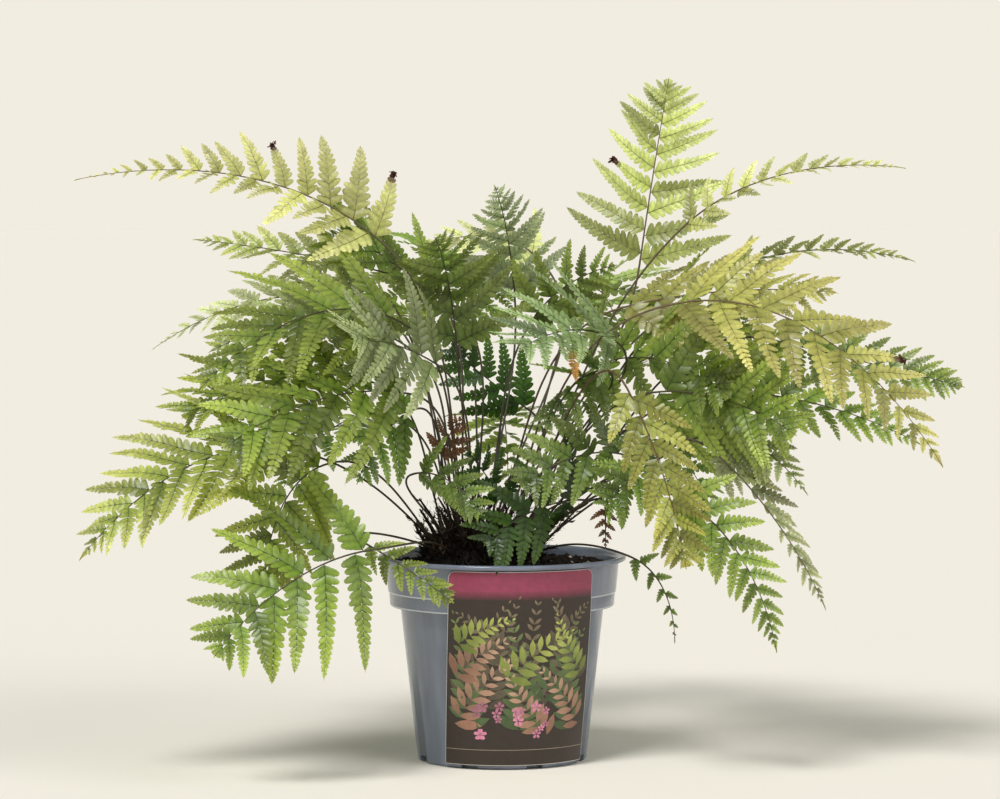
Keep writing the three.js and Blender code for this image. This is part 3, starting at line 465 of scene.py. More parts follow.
def planned_roots():
    """The root of each frond: upright ones near the middle of the crown, spread apart in plan."""
    order = sorted(range(len(FRONDS)), key=lambda i: -steepness(FRONDS[i][1]))
    roots = np.zeros((len(FRONDS), 2))
    centre = np.array((CROWN_X, CROWN_Y), float)
    for rank, i in enumerate(order):
        r = ROOT_SPREAD * math.sqrt((rank + 0.5) / len(FRONDS))
        x, y = FRONDS[i][1][:2]
        angle = math.atan2(y - CROWN_Y, x - CROWN_X)
        roots[i] = centre + r * np.array((math.cos(angle), math.sin(angle)))
    for _ in range(60):
        for i in range(len(roots)):
            for j in range(len(roots)):
                apart = roots[i] - roots[j]
                distance = math.hypot(*apart)
                if i != j and distance < ROOT_SPACING:
                    push = apart / distance * (ROOT_SPACING - distance) / 2
                    roots[i] += push
                    roots[j] -= push
            out = roots[i] - centre
            roots[i] = centre + out * min(1, ROOT_SPREAD / max(math.hypot(*out), 1e-9))
    return [np.array((x, y, crown_height(x, y) - ROOT_DEPTH)) for x, y in roots]


def leaflet_share(t, taper):
    """The leaflet's length as a share of the longest, from the blade's base to its tip."""
    return (1 - t) ** taper * (1 + 0.25 * t)


def shown_share(t, taper):
    """The same share with a finer tip, as the leaflets are grown here."""
    return leaflet_share(t, taper) * min(1.0, (1 - t) / 0.15) ** 0.45


class Frond:
    """One frond's stalk and blade curves, with the bow and the folds that its solid has."""

    def __init__(self, row, root):
        self.name, base, tip, lift, self.reach, self.taper, self.open = row[:7]
        self.pairs, face, self.cup, self.shown, self.colour = row[7:]
        self.base, self.tip = np.array(base, float), np.array(tip, float)
        self.slope = slope_direction(base, tip, lift)
        self.length = np.linalg.norm(self.tip - self.base)
        self.face = unit(face)
        self.splay = math.radians(SPLAY.get(self.name, 0))
        lead = self.base + self.slope * self.length * BLADE_LEAD
        middle = (self.base + self.slope * self.length * 0.5 + self.tip) / 2
        self.blade = Curve(self.base, lead, middle, self.tip)
        self.solid = self.solid_points()
        bows = [self.stalk_curve(root, bow) for bow in BOWS]
        steps = np.arange(1, STALK_STEPS) / STALK_STEPS
        wide = STALK_HALF * math.sqrt(2)
        misfit = [sum(abs(self.solid.find(p)[2] - wide) for p in curve.at(steps)) for curve in bows]
        self.stalk = bows[int(np.argmin(misfit))]
        self.read_leaflets()

    def solid_points(self):
        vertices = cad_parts[f"frond_{self.name}"].data.vertices
        tree = KDTree(len(vertices))
        for i, vertex in enumerate(vertices):
            tree.insert(vertex.co / MM, i)
        tree.balance()
        return tree

    def stalk_curve(self, root, bow):
        span = np.linalg.norm(self.base - root)
        fan = unit((root[0] - CROWN_X, root[1] - CROWN_Y, 45))
        aim = unit(unit(self.base - root) + fan)
        side = unit((-aim[1], aim[0], 0)) * bow
        lead = root + aim * span * STALK_LEAD + side
        trail = self.base - self.slope * span * BLADE_LEAD + side
        return Curve(root, lead, trail, self.base)

    def place(self, t):
        """A point on the midrib, its direction, the blade's normal and its sideways direction."""
        along = self.blade.along(t)
        normal = unit(self.face - along * np.dot(self.face, along))
        return self.blade.at(t), along, normal, np.cross(normal, along)

    def leaflet_axes(self, t, side, fold, swing):
        """The leaflet's root point, direction, facing and the blade's direction there."""
        at, along, normal, across = self.place(t)
        bend = math.radians(self.cup + fold)
        out = across * side * math.cos(bend) + normal * math.sin(bend)
        face = normal * math.cos(bend) - across * side * math.sin(bend)
        way = along * math.cos(swing) + out * math.sin(swing)
        return at, way, face, along

    def swing(self, t):
        return math.radians(self.open + (LEAFLET_TIP_SWING - self.open) * t)

    def read_leaflets(self):
        """The fold and the share of its length that each leaflet of the solid was given."""
        self.solid_ts = 1 - (1 - (np.arange(self.pairs) + 0.42) / (self.pairs + 0.55)) ** CLOSING
        self.folds = {1: [], -1: []}
        self.shares = {1: [], -1: []}
        for t in self.solid_ts:
            for side in (1, -1):
                best = (0.2, 0, 0)
                for share in SHARES:
                    for fold in FOLDS:
                        at, way, face, _ = self.leaflet_axes(t, side, fold, self.swing(t))
                        length = self.reach * leaflet_share(t, self.taper) * share
                        end = at + way * length - face * DROOP * length
                        miss = abs(self.solid.find(end)[2] - LEAFLET_HALF_THICKNESS)
                        if miss < best[0] - 1e-3:
                            best = (miss, fold, share)
                self.folds[side].append(best[1])
                self.shares[side].append(best[2])


def leaflet_lobe():
    """A leaflet's smallest lobe, flat: places along and across it from 0 to 1, and its triangles.

    The outline is a blunt oblong with shallow teeth, broad where it joins the rib."""
    middle = [(0.0, 0), (0.3, 0), (0.58, 0), (0.82, 0), (1.0, 0)]
    edge = [(-0.1, 1.08), (0.2, 1.06), (0.3, 1.04), (0.35, 0.94), (0.52, 1.0), (0.57, 0.86)]
    edge += [(0.72, 0.88), (0.77, 0.7), (0.92, 0.52)]
    points = middle + edge + [(u, -w) for u, w in edge]
    faces = []
    for side in (1, -1):
        first = len(middle) + (0 if side > 0 else len(edge))
        rim = list(range(first, first + len(edge))) + [len(middle) - 1]
        m = 0
        for a, b in zip(rim, rim[1:]):
            faces.append((m, a, b) if side < 0 else (m, b, a))
            reach = points[b][0]
            while m + 1 < len(middle) - 1 and points[m + 1][0] < reach:
                faces.append((m, b, m + 1) if side < 0 else (m, m + 1, b))
                m += 1
    return np.array(points, float), np.array(faces)


LOBE, LOBE_FACES = leaflet_lobe()


def lobes(shape, origin, way, face, length, half_width, colours, cup, droop):
    """Adds many lobes at once, one for each row of the arguments. colours are root and tip."""
    way, face = unit(way), np.asarray(face, float)
    face = unit(face - way * np.sum(face * way, axis=1, keepdims=True))
    lateral = np.cross(face, way)
    u, w = LOBE[:, 0], LOBE[:, 1]
    length, half_width = length[:, None], half_width[:, None]
    x = u * length
    y = w * half_width
    z = -droop[:, None] * u**2 * length - cup[:, None] * w**2 * half_width
    points = origin[:, None] + x[..., None] * way[:, None]
    points = points + y[..., None] * lateral[:, None] + z[..., None] * face[:, None]
    near, far = colours
    blend = u[None, :, None]
    shade = near[:, None] * (1 - blend) + far[:, None] * blend
    shade = shade * np.where(np.abs(w) < 0.1, 1.22, 0.96)[None, :, None]
    shape.add(points, copied(LOBE_FACES, len(origin), len(LOBE)), shade.reshape(-1, 3))


def one_lobe(shape, at, way, face, length, half_width, colour, cup, droop):
    rows = [np.array([value]) for value in (length, half_width, cup, droop)]
    shades = (colour[None], colour[None])
    lobes(shape, at[None], way[None], face[None], rows[0], rows[1], shades, rows[2], rows[3])


def leaflet(shape, rng, frond, t, side, spacing, shades, ending):
    """One leaflet: its own fine rib with two rows of lobes that merge towards the tip."""
    near, far, rib_colour = shades
    withered, amber = ending
    fold = np.interp(t, frond.solid_ts, frond.folds[side]) + rng.uniform(-13, 13)
    share = np.interp(t, frond.solid_ts, frond.shares[side])
    if share < 0.25:
        return
    swing = frond.swing(t) + frond.splay + math.radians(rng.uniform(-7, 7))
    at, way, face, along = frond.leaflet_axes(t, side, fold, swing)
    face = rolled(face, way, math.radians(rng.uniform(-18, 18)))
    length = frond.reach * shown_share(t, frond.taper) * share * rng.uniform(0.9, 1.05)
    if withered:
        length *= 0.86
    sweep = rng.uniform(0.05, 0.14)
    droop = DROOP * rng.uniform(0.4, 2.0)
    wave = rng.uniform(-0.025, 0.025)

    def rib(s):
        s = np.asarray(s, float)[:, None]
        bend = -droop * s * s + wave * np.sin(s * 7)
        return at + length * (s * way + sweep * s * s * along + bend * face)

    stations = np.linspace(0, 1, 9)
    path = rib(stations)
    radii = np.interp(stations, (0, 1), (0.34, 0.08))
    vertices, faces = tube(path, radii * min(1, 0.5 + length / 90), 4)
    shape.add(vertices, faces, 0.5 * rib_colour + 0.45 * near, 1)

    lobe = min(0.62 * spacing, 0.2 * length + 1.0, 11.0) * rng.uniform(0.94, 1.06)
    count = max(5, int(round(length / (lobe * 0.34 + 0.35))))
    left = 1 - (np.arange(count) + 0.35) / count
    x = 1 - left**1.55
    s = 0.03 + 0.95 * x
    step = 0.95 * length * 1.55 * left**0.55 / count
    origin = rib(s)
    tangent = unit(rib(s + 0.01) - rib(s - 0.01))
    blade = np.broadcast_to(face, tangent.shape)
    lateral = np.cross(tangent, blade)
    size = lobe * (1 - x) ** 0.6 * (1.0 + 0.2 * x)
    # The leaflet's brightness: a random tone, times painted shade that darkens leaflets deep inside the plant.
    leaflet_tone_and_painted_shade = rng.uniform(0.6, 1.42) * painted_inner_shade(at)
    for row in (1, -1):
        turn = np.radians(66 - 20 * x + rng.uniform(-4, 4, count))
        half = 0.5 * step * np.sin(turn) * (1.08 + 0.3 * x)
        lift = np.radians(rng.uniform(2, 16) + rng.uniform(-8, 8, count))
        out = lateral * row * np.cos(lift)[:, None] + blade * np.sin(lift)[:, None]
        lobe_face = blade * np.cos(lift)[:, None] - lateral * row * np.sin(lift)[:, None]
        lobe_way = tangent * np.cos(turn)[:, None] + out * np.sin(turn)[:, None]
        roll = np.radians(rng.uniform(-9, 9, count))[:, None]
        lobe_face = rolled(lobe_face, lobe_way, roll)
        size_here = size * rng.uniform(0.92, 1.06, count)
        if t < 0.12:
            size_here = size_here * np.where((row == side) & (x < 0.4), 1.22, 1.0)
        bright = (leaflet_tone_and_painted_shade * rng.uniform(0.88, 1.12, count))[:, None]
        tipward = (0.75 * x + 0.25 * x * x)[:, None]
        root_shade = (near * (1 - tipward) + far * tipward) * bright
        tip_shade = (near * (0.6 - 0.6 * tipward) + far * (0.4 + 0.6 * tipward)) * bright
        tones = [root_shade, tip_shade]
        if withered or amber:
            turned = np.clip((x - 0.74) / 0.12 if withered else (x - 0.35) / 0.25, 0, 1)[:, None]
            tone = WITHERED_COLOUR if withered else AMBER
            tones = [shade * (1 - turned) + tone * turned for shade in tones]
        half = half * rng.uniform(0.94, 1.06, count)
        cup, lobe_droop = rng.uniform(0.05, 0.35, count), rng.uniform(0.0, 0.22, count)
        lobes(shape, origin, lobe_way, lobe_face, size_here, half, tones, cup, lobe_droop)
    if withered:
        curled_end(shape, rng, rib([0.95])[0], min(2.7, 0.04 * length + 1.2))
        return
    end = size[-1] * 2.0
    tip_colour = far * leaflet_tone_and_painted_shade
    one_lobe(shape, rib([0.96])[0], tangent[-1], blade[-1], end, end * 0.2, tip_colour, 0.2, 0.1)


def painted_inner_shade(at):
    """Painted shade: leaflets deep inside the plant are darker than those at its edge, as if shaded by the fronds
    around them.
    """
    away = math.hypot(at[0] - CROWN_X, at[1] - CROWN_Y) + 0.6 * max(0, at[2] - 250)
    return 0.8 + 0.28 * min(1.0, max(0.0, (away - 40) / 150))


def curled_end(shape, rng, centre, size):
    """A crumpled tuft of dead lobes."""
    count = 16
    way = unit(rng.normal(size=(count, 3)))
    origin = centre + rng.normal(scale=0.35 * size, size=(count, 3))
    face = unit(rng.normal(size=(count, 3)))
    length = np.full(count, size) * rng.uniform(0.6, 1.2, count)
    near = WITHERED_COLOUR * rng.uniform(0.4, 1.4, (count, 1))
    far = WITHERED_COLOUR * rng.uniform(0.5, 2.2, (count, 1))
    cup, droop = rng.uniform(0.3, 0.9, count), rng.uniform(0.2, 0.8, count)
    lobes(shape, origin, way, face, length, np.full(count, size * 0.32), (near, far), cup, droop)


def frond_shades(colour, rng):
    near, far, rib = (np.array(c) for c in COLOURS[colour])
    shift = 1 + rng.uniform(-0.08, 0.08, 3) * np.array((1, 0.6, 1))
    return near * shift, far * shift, rib


def blade_tip(shape, rng, frond, colour):
    """The blade's narrow end: plain lobes that shrink to a point."""
    count = 6
    reach = frond.reach * shown_share(LAST_LEAFLET, frond.taper)
    for i in range(count):
        x = (i + 0.5) / count
        t = LAST_LEAFLET + (0.992 - LAST_LEAFLET) * x
        size = min(reach, 0.035 * frond.length + 1.5) * (1 - 0.75 * x)
        for side in (1, -1):
            fold, swing = rng.uniform(-6, 6), frond.swing(t) * 0.85
            at, way, face, _ = frond.leaflet_axes(t, side, fold, swing)
            one_lobe(shape, at, way, face, size, 0.17 * size + 0.15, colour, 0.2, 0.15)
    at, along, normal, _ = frond.place(0.985)
    end = 0.012 * frond.length + 2.0
    one_lobe(shape, at, along, normal, end, end * 0.13, colour, 0.1, 0.2)


def frond_piece(frond, index, materials):
    rng = np.random.default_rng(FROND_SEED + index)
    shape = Shape()
    near, far, rib_colour = frond_shades(frond.colour, rng)
    left = 1 - (np.arange(frond.shown) + 0.35) / frond.shown
    places = LAST_LEAFLET * (1 - left**CROWDING)
    spans = frond.length * LAST_LEAFLET * CROWDING * left ** (CROWDING - 1) / frond.shown
    for pair, (t, spacing) in enumerate(zip(places, spans)):
        for side in (1, -1):
            spot = float(np.clip(t + side * 0.13 * spacing / frond.length, 0, 1))
            key = (frond.name, pair, side)
            ending = (key in WITHERED, key in AMBER_ENDS)
            leaflet(shape, rng, frond, spot, side, spacing, (near, far, rib_colour), ending)
    blade_tip(shape, rng, frond, far)
    stalk_ts = np.linspace(0, 1, 26)
    blade_ts = np.linspace(0, 1, 22)[1:]
    path = np.concatenate([frond.stalk.at(stalk_ts), frond.blade.at(blade_ts)])
    swollen = 1 + 0.5 * np.exp(-((stalk_ts / 0.12) ** 2))
    radii = np.concatenate([STALK_HALF * 0.78 * swollen, np.interp(blade_ts, (0, 1), (0.66, 0.2))])
    vertices, faces = tube(path, radii, STALK_SIDES)
    stalk_blend = np.interp(stalk_ts, (0, 0.25, 1), (0, 0.12, 0.6))
    blend = np.concatenate([stalk_blend, np.interp(blade_ts, (0, 1), (0.6, 1))])[:, None]
    rings = STALK_DARK * (1 - blend) + rib_colour * blend
    colours = np.concatenate([np.repeat(rings, STALK_SIDES, axis=0), rings[:1], rings[-1:]])
    shape.add(vertices, faces, colours, 1)
    stalk_scales(shape, rng, frond)
    piece = shape.build(f"fern_frond_{frond.name}", materials)
    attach(piece, "root")
    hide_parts(f"frond_{frond.name}")
    return piece


SCALE_FACES = np.array([(0, 1, 3), (0, 3, 2), (2, 3, 4)])


def scale_blades(shape, origin, way, face, length, width, colours, slot):
    """Small pointed scales, each a bent strip of three triangles."""
    way = unit(way)
    face = unit(face - way * np.sum(face * way, axis=1, keepdims=True))
    side = np.cross(face, way) * width[:, None]
    reach = way * length[:, None]
    rise = face * (length * 0.18)[:, None]
    rows = [origin - side / 2, origin + side / 2]
    rows += [origin + reach * 0.5 + rise - side / 2, origin + reach * 0.5 + rise + side / 2]
    rows += [origin + reach]
    points = np.stack(rows, 1)
    faces = copied(SCALE_FACES, len(origin), len(rows))
    shape.add(points, faces, np.repeat(colours, len(rows), axis=0), slot)


def stalk_scales(shape, rng, frond):
    """Papery brown scales on the lowest part of the stalk."""
    count = 34
    t = rng.uniform(0.03, 0.34, count) ** 1.25
    at = frond.stalk.at(t)
    along = frond.stalk.along(t)
    spin = unit(np.cross(along, rng.normal(size=(count, 3))))
    origin = at + spin * STALK_HALF * 0.8
    way = unit(along * 0.8 + spin * rng.uniform(0.25, 0.9, (count, 1)))
    length = rng.uniform(2.0, 5.5, count)
    colours = STALK_SCALE * rng.uniform(0.4, 1.7, (count, 1))
    scale_blades(shape, origin, way, spin, length, length * 0.2, colours, 1)


# The crown, the soil, the pot and the card.


def crown_piece(material):
    rng = np.random.default_rng(CROWN_SEED)
    shape = Shape()
    sides, rings = 72, 22
    grid = []
    for r in range(rings + 1):
        away = 1 - r / rings
        for k in range(sides):
            angle = k / sides * 2 * math.pi
            radius = CROWN_RADIUS * away
            x = CROWN_X + radius * math.cos(angle)
            y = CROWN_Y + radius * math.sin(angle)
            lump = 1.5 * math.sin(x * 0.5 + 1) * math.sin(y * 0.43)
            lump += 0.9 * math.sin(x * 1.3) * math.cos(y * 1.1)
            z = crown_height(x, y) - 1.5 + (lump if 0 < away < 1 else 0)
            z += rng.uniform(-0.7, 0.7) * (away < 1)
            grid.append((x, y, min(z, CROWN_TOP)))
    colours = CROWN_TONE * rng.uniform(0.5, 1.8, (len(grid), 1))
    shape.add(grid, ring_faces(rings + 1, sides), colours)
    for i in range(STUBS):
        angle = i * STUB_ANGLE
        r = CROWN_RADIUS * (0.15 + 0.8 * math.sqrt((i + 0.5) / STUBS))
        x, y = CROWN_X + r * math.cos(angle), CROWN_Y + r * math.sin(angle)
        lean = math.radians(12 + 30 * r / CROWN_RADIUS + rng.uniform(-8, 8))
        way = polar(math.sin(lean), angle, math.cos(lean))
        tall = rng.uniform(9, 30)
        foot = np.array((x, y, crown_height(x, y)))
        bow = np.array((rng.uniform(-4, 4), rng.uniform(-4, 4), 0))

        def stub(s):
            return foot + s * tall * way + s * s * bow

        s = np.linspace(-0.2, 1, 8)
        radii = np.interp(s, (-0.2, 0.8, 1), (2.3, 1.0, 0.7)) * rng.uniform(0.75, 1.1)
        vertices, tube_faces = tube(stub(s[:, None]), radii, STALK_SIDES)
        shape.add(vertices, tube_faces, STUB_TONE * rng.uniform(0.4, 1.6))
        count = 22
        at = stub(rng.uniform(0.0, 0.95, count)[:, None])
        spin = unit(np.cross(np.broadcast_to(way, (count, 3)), rng.normal(size=(count, 3))))
        scale_way = unit(way + spin * rng.uniform(0.3, 1.0, (count, 1)))
        length = rng.uniform(2.5, 7, count)
        tones = STUB_SCALE * rng.uniform(0.3, 1.7, (count, 1))
        scale_blades(shape, at + spin * 0.9, scale_way, spin, length, length * 0.2, tones, 0)
    count = CROWN_SCALES
    radius = CROWN_RADIUS * np.sqrt(rng.uniform(0, 0.98, count))
    angle = rng.uniform(0, 2 * math.pi, count)
    x, y = CROWN_X + radius * np.cos(angle), CROWN_Y + radius * np.sin(angle)
    z = np.array([crown_height(a, b) for a, b in zip(x, y)]) - 1.2
    origin = np.stack([x, y, z], 1)
    outward = polar(radius / CROWN_RADIUS, angle, 0.9)
    way = unit(outward + rng.normal(scale=0.45, size=(count, 3)))
    length = rng.uniform(3, 9, count)
    tones = CROWN_SCALE * rng.uniform(0.25, 2.0, (count, 1))
    scale_blades(shape, origin, way, rng.normal(size=(count, 3)), length, length * 0.16, tones, 0)
    piece = shape.build("rhizome_crown", [material], smooth=False)
    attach(piece, "root")
    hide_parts("crown")


def wall_radius(z):
    return FOOT_RADIUS + (WALL_TOP_RADIUS - FOOT_RADIUS) * z / (COLLAR_FOOT - 1)


CRUMB = unit(np.array([(1, 0, 0), (-1, 0, 0), (0, 1, 0), (0, -1, 0), (0, 0, 1), (0, 0, -1)], float))
CRUMB_TOP = [(0, 2, 4), (2, 1, 4), (1, 3, 4), (3, 0, 4)]
CRUMB_FACES = np.array(CRUMB_TOP + [(b, a, 5) for a, b, _ in CRUMB_TOP])


def soil_piece(material):
    """Peat that fills the pot, with a crumbly top and loose crumbs."""
    rng = np.random.default_rng(SOIL_SEED)
    shape = Shape()
    edge = COLLAR_FOOT_RADIUS - WALL - 0.75
    inner = wall_radius(FLOOR) - WALL - 0.6
    neck = wall_radius(COLLAR_FOOT - 2) - WALL - 0.5
    profile = [(0, FLOOR + 0.4), (inner, FLOOR + 0.4), (neck, COLLAR_FOOT - 1)]
    profile += [(edge, COLLAR_FOOT + 3.8), (edge + 2, SOIL_LEVEL - 1.5)]
    steps = 26
    profile += [((edge + 2) * (1 - (i + 1) / steps), SOIL_LEVEL) for i in range(steps)]
    sides = 96
    angles = round_angles(sides)
    rows = []
    for i, (r, z) in enumerate(profile):
        x, y = r * np.cos(angles), r * np.sin(angles)
        top = i >= 5
        rough = rng.uniform(-1.1, 1.1, sides) if top and r > 1 else np.zeros(sides)
        swell = 0.9 * np.sin(x * 0.21 + 0.6) * np.cos(y * 0.17) if top else 0
        rows.append(np.stack([x, y, z + rough + swell], 1))
    vertices = np.concatenate(rows)
    tones = PEAT_TONE * rng.uniform(0.6, 1.5, (len(vertices), 1))
    shape.add(vertices, ring_faces(len(profile), sides), tones)
    count = CRUMBS
    r = edge * np.sqrt(rng.uniform(0, 0.97, count))
    angle = rng.uniform(0, 2 * math.pi, count)
    size = rng.uniform(0.4, 1.0, count) ** 2.5 * 2.6 + 0.35
    at = polar(r, angle, SOIL_LEVEL + rng.uniform(-0.4, 1.2, count))
    stretch = rng.uniform(0.55, 1.25, (count, 6, 1))
    turn = rng.uniform(0, math.pi, count)
    c, s = np.cos(turn)[:, None], np.sin(turn)[:, None]
    flat = np.stack([CRUMB[:, 0] * c - CRUMB[:, 1] * s, CRUMB[:, 0] * s + CRUMB[:, 1] * c], 2)
    body = np.concatenate([flat, np.broadcast_to(CRUMB[None, :, 2:], (count, 6, 1)) * 0.7], 2)
    points = at[:, None] + body * stretch * size[:, None, None]
    pale = rng.uniform(0, 1, (count, 1)) > 0.975
    tones = np.where(pale, GRIT_TONE, CRUMB_TONE) * rng.uniform(0.45, 1.6, (count, 1))
    shape.add(points, copied(CRUMB_FACES, count, 6), np.repeat(tones, 6, axis=0))
    piece = shape.build("peat_soil", [material], smooth=False)
    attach(piece, "root")
    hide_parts("soil")


def rounded(profile, radius, steps=4):
    """The profile with its soft corners replaced by short arcs. Rows: radius, height, softness."""
    points = []
    for i, (r, z, soft) in enumerate(profile):
        here = np.array((r, z), float)
        if not soft:
            points.append(here)
            continue
        before = np.array(profile[i - 1][:2], float)
        after = np.array(profile[i + 1][:2], float)
        to, away = before - here, after - here
        reach = min(radius * soft, np.linalg.norm(to) * 0.45, np.linalg.norm(away) * 0.45)
        a, b = here + unit(to) * reach, here + unit(away) * reach
        for j in range(steps + 1):
            t = j / steps
            points.append((1 - t) ** 2 * a + 2 * t * (1 - t) * here + t * t * b)
    return np.array(points)


def pot_piece(material):
    profile = [
        (0, 0, 0),
        (FOOT_RADIUS - 1, 0, 1),
        (FOOT_RADIUS, 1.2, 1),
        (WALL_TOP_RADIUS, COLLAR_FOOT - 1, 1),
        (COLLAR_FOOT_RADIUS - 0.4, COLLAR_FOOT - 0.4, 1),
        (COLLAR_FOOT_RADIUS, COLLAR_FOOT + 0.4, 1),
        (COLLAR_FOOT_RADIUS + 0.5, COLLAR_BEAD, 0),
        (COLLAR_FOOT_RADIUS + 1.3, COLLAR_BEAD + 0.6, 1),
        (COLLAR_FOOT_RADIUS + 1.3, COLLAR_BEAD + 1.2, 0),
        (COLLAR_TOP_RADIUS, POT_HEIGHT - 4, 1),
        (RIM_RADIUS - 0.6, POT_HEIGHT - 3.4, 1),
        (RIM_RADIUS, POT_HEIGHT - 2.4, 1),
        (RIM_RADIUS, POT_HEIGHT - 0.8, 1.4),
        (RIM_RADIUS - 1.6, POT_HEIGHT, 1.4),
        (COLLAR_TOP_RADIUS - 0.6, POT_HEIGHT - 1.2, 1),
        (COLLAR_TOP_RADIUS - 1.8, POT_HEIGHT - 3, 1),
        (COLLAR_FOOT_RADIUS - WALL, COLLAR_FOOT + 2, 1),
        (WALL_TOP_RADIUS - WALL, COLLAR_FOOT - 1, 1),
        (FOOT_RADIUS - WALL, FLOOR, 1),
        (0, FLOOR, 0),
    ]
    outline = rounded(profile, 0.7)
    angles = round_angles(POT_SIDES)
    rows = outline[1:-1]
    vertices = np.concatenate([polar(r, angles, z) for r, z in rows])
    vertices = np.concatenate([vertices, [(0, 0, outline[0][1]), (0, 0, outline[-1][1])]])
    k = np.arange(POT_SIDES)
    nxt = (k + 1) % POT_SIDES
    faces = []
    for i in range(len(rows) - 1):
        a, b = i * POT_SIDES, (i + 1) * POT_SIDES
        faces += [[a + p, a + q, b + q, b + p] for p, q in zip(k, nxt)]
    bottom, top = len(vertices) - 2, len(vertices) - 1
    last = (len(rows) - 1) * POT_SIDES
    faces += [[bottom, q, p] for p, q in zip(k, nxt)]
    faces += [[top, last + p, last + q] for p, q in zip(k, nxt)]
    faces = [[int(v) for v in face] for face in faces]
    pot = new_mesh("nursery_pot", vertices, faces, [material])
    for i in range(SLOTS):
        cut_slot(pot, (i + 0.5) / SLOTS * 2 * math.pi)
    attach(pot, "root")
    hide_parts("pot")


def cut_slot(pot, angle):
    """A drainage slot through the wall and floor at the foot."""
    bpy.ops.mesh.primitive_cube_add(size=1)
    cutter = bpy.context.object
    cutter.scale = (10 * MM, SLOT_WIDTH * MM, 5 * MM)
    cutter.location = polar(FOOT_RADIUS, angle, SLOT_TOP - 2.5) * MM
    cutter.rotation_euler = (0, 0, angle)
    bpy.context.view_layer.update()
    modifier = pot.modifiers.new("slot", "BOOLEAN")
    modifier.object = cutter
    modifier.operation = "DIFFERENCE"
    modifier.solver = "EXACT"
    depsgraph = bpy.context.evaluated_depsgraph_get()
    cut = bpy.data.meshes.new_from_object(pot.evaluated_get(depsgraph))
    pot.modifiers.clear()
    pot.data = cut
    bpy.data.objects.remove(cutter)


def card_radius(z):
    foot = FOOT_RADIUS + CARD_STAND_OFF + 0.6
    collar = COLLAR_FOOT_RADIUS + CARD_STAND_OFF + 0.3
    lower = foot + (collar - foot) * z / COLLAR_FOOT
    rise = (z - COLLAR_FOOT) / (CARD_TOP - COLLAR_FOOT)
    upper = collar + (COLLAR_TOP_RADIUS + CARD_STAND_OFF - collar) * rise
    return np.where(z < COLLAR_FOOT, lower, upper)


def on_card(x, z, lift):
    """A point of the card's face: x across the sheet from its middle, z up, lift off its front."""
    x, z = np.asarray(x, float), np.asarray(z, float)
    r = card_radius(z)
    angle = x / r + CARD_TURN
    r = r + CARD_THICKNESS + lift
    return np.stack([r * np.sin(angle), -r * np.cos(angle), z + 0 * x], -1)


HEADER_HEIGHT = 13
FOOTER_HEIGHT = 17
PRINT_LIFT = 0.05
PRINT_STEP = 0.035
MAGENTA = (0.27, 0.04, 0.085)
PINK = (0.55, 0.20, 0.30)
FOOTLINE = (0.30, 0.24, 0.18)
CARD_DARK = (0.030, 0.020, 0.014)
CARD_PALE = ((0.72, 0.70, 0.66), (0.80, 0.78, 0.74))
SLATE_DARK = (0.12, 0.142, 0.188)
SLATE_PALE = (0.2, 0.232, 0.305)
SLATE_RIDGE_HIGHLIGHT = (0.46, 0.49, 0.53)
PRINT_SEED = 12
PRINT_MARGIN = 0.35
FADE_STEP = 1.1

# One row for each printed sprig: foot, heading, length, bend, leaf length, and its two tones.
TAN = ((0.26, 0.12, 0.075), (0.50, 0.33, 0.22))
GREEN = ((0.15, 0.19, 0.03), (0.50, 0.55, 0.14))
DUSK = ((0.07, 0.06, 0.035), (0.20, 0.15, 0.09))
MOSS = ((0.05, 0.09, 0.03), (0.16, 0.20, 0.07))
SPRIGS = [
    ((-44, 40), 0.25, 84, 0.35, 17, DUSK),
    ((-24, 36), 0.05, 86, 0.4, 18, DUSK),
    ((6, 34), -0.1, 88, 0.3, 18, DUSK),
    ((28, 38), 0.1, 84, -0.35, 18, DUSK),
    ((46, 44), -0.2, 78, -0.3, 17, DUSK),
    ((-8, 74), -0.6, 52, -0.5, 15, DUSK),
    ((20, 78), 0.5, 46, 0.4, 14, DUSK),
    ((-38, 22), 0.1, 88, -0.45, 19, MOSS),
    ((40, 21), -0.25, 86, 0.5, 19, MOSS),
    ((-2, 21), 0.15, 90, -0.5, 20, MOSS),
    ((14, 44), 0.35, 62, 0.45, 18, MOSS),
    ((-48, 27), 0.5, 68, 0.45, 20, TAN),
    ((22, 20), -0.8, 66, 0.5, 18, TAN),
    ((-47, 62), 0.7, 50, 0.5, 17, TAN),
    ((48, 26), -0.55, 60, -0.3, 17, TAN),
    ((-12, 60), 0.7, 60, 0.5, 19, GREEN),
    ((-46, 84), 0.85, 44, 0.5, 15, GREEN),
    ((46, 62), -0.65, 50, 0.35, 16, GREEN),
]

# A printed leaf: its outline along and across, its triangles, and how bright each corner is.
LEAF_FLANK = [(0.2, 0.55), (0.45, 0.9), (0.7, 0.75)]
LEAF_OUTLINE = np.array([(0, 0), *LEAF_FLANK, (1, 0), *((u, -w) for u, w in LEAF_FLANK[::-1])])
LEAF_FACES = [(0, 7, 1), (1, 7, 2), (2, 7, 6), (2, 6, 3), (3, 6, 5), (3, 5, 4)]
LEAF_SHADE = np.linspace(0.8, 1.15, 5)[[0, 1, 2, 3, 4, 3, 2, 1]][:, None]
PETAL = np.array([(0.1, 0), (0.55, 0.3), (1, 0.22), (1, -0.22), (0.55, -0.3)])


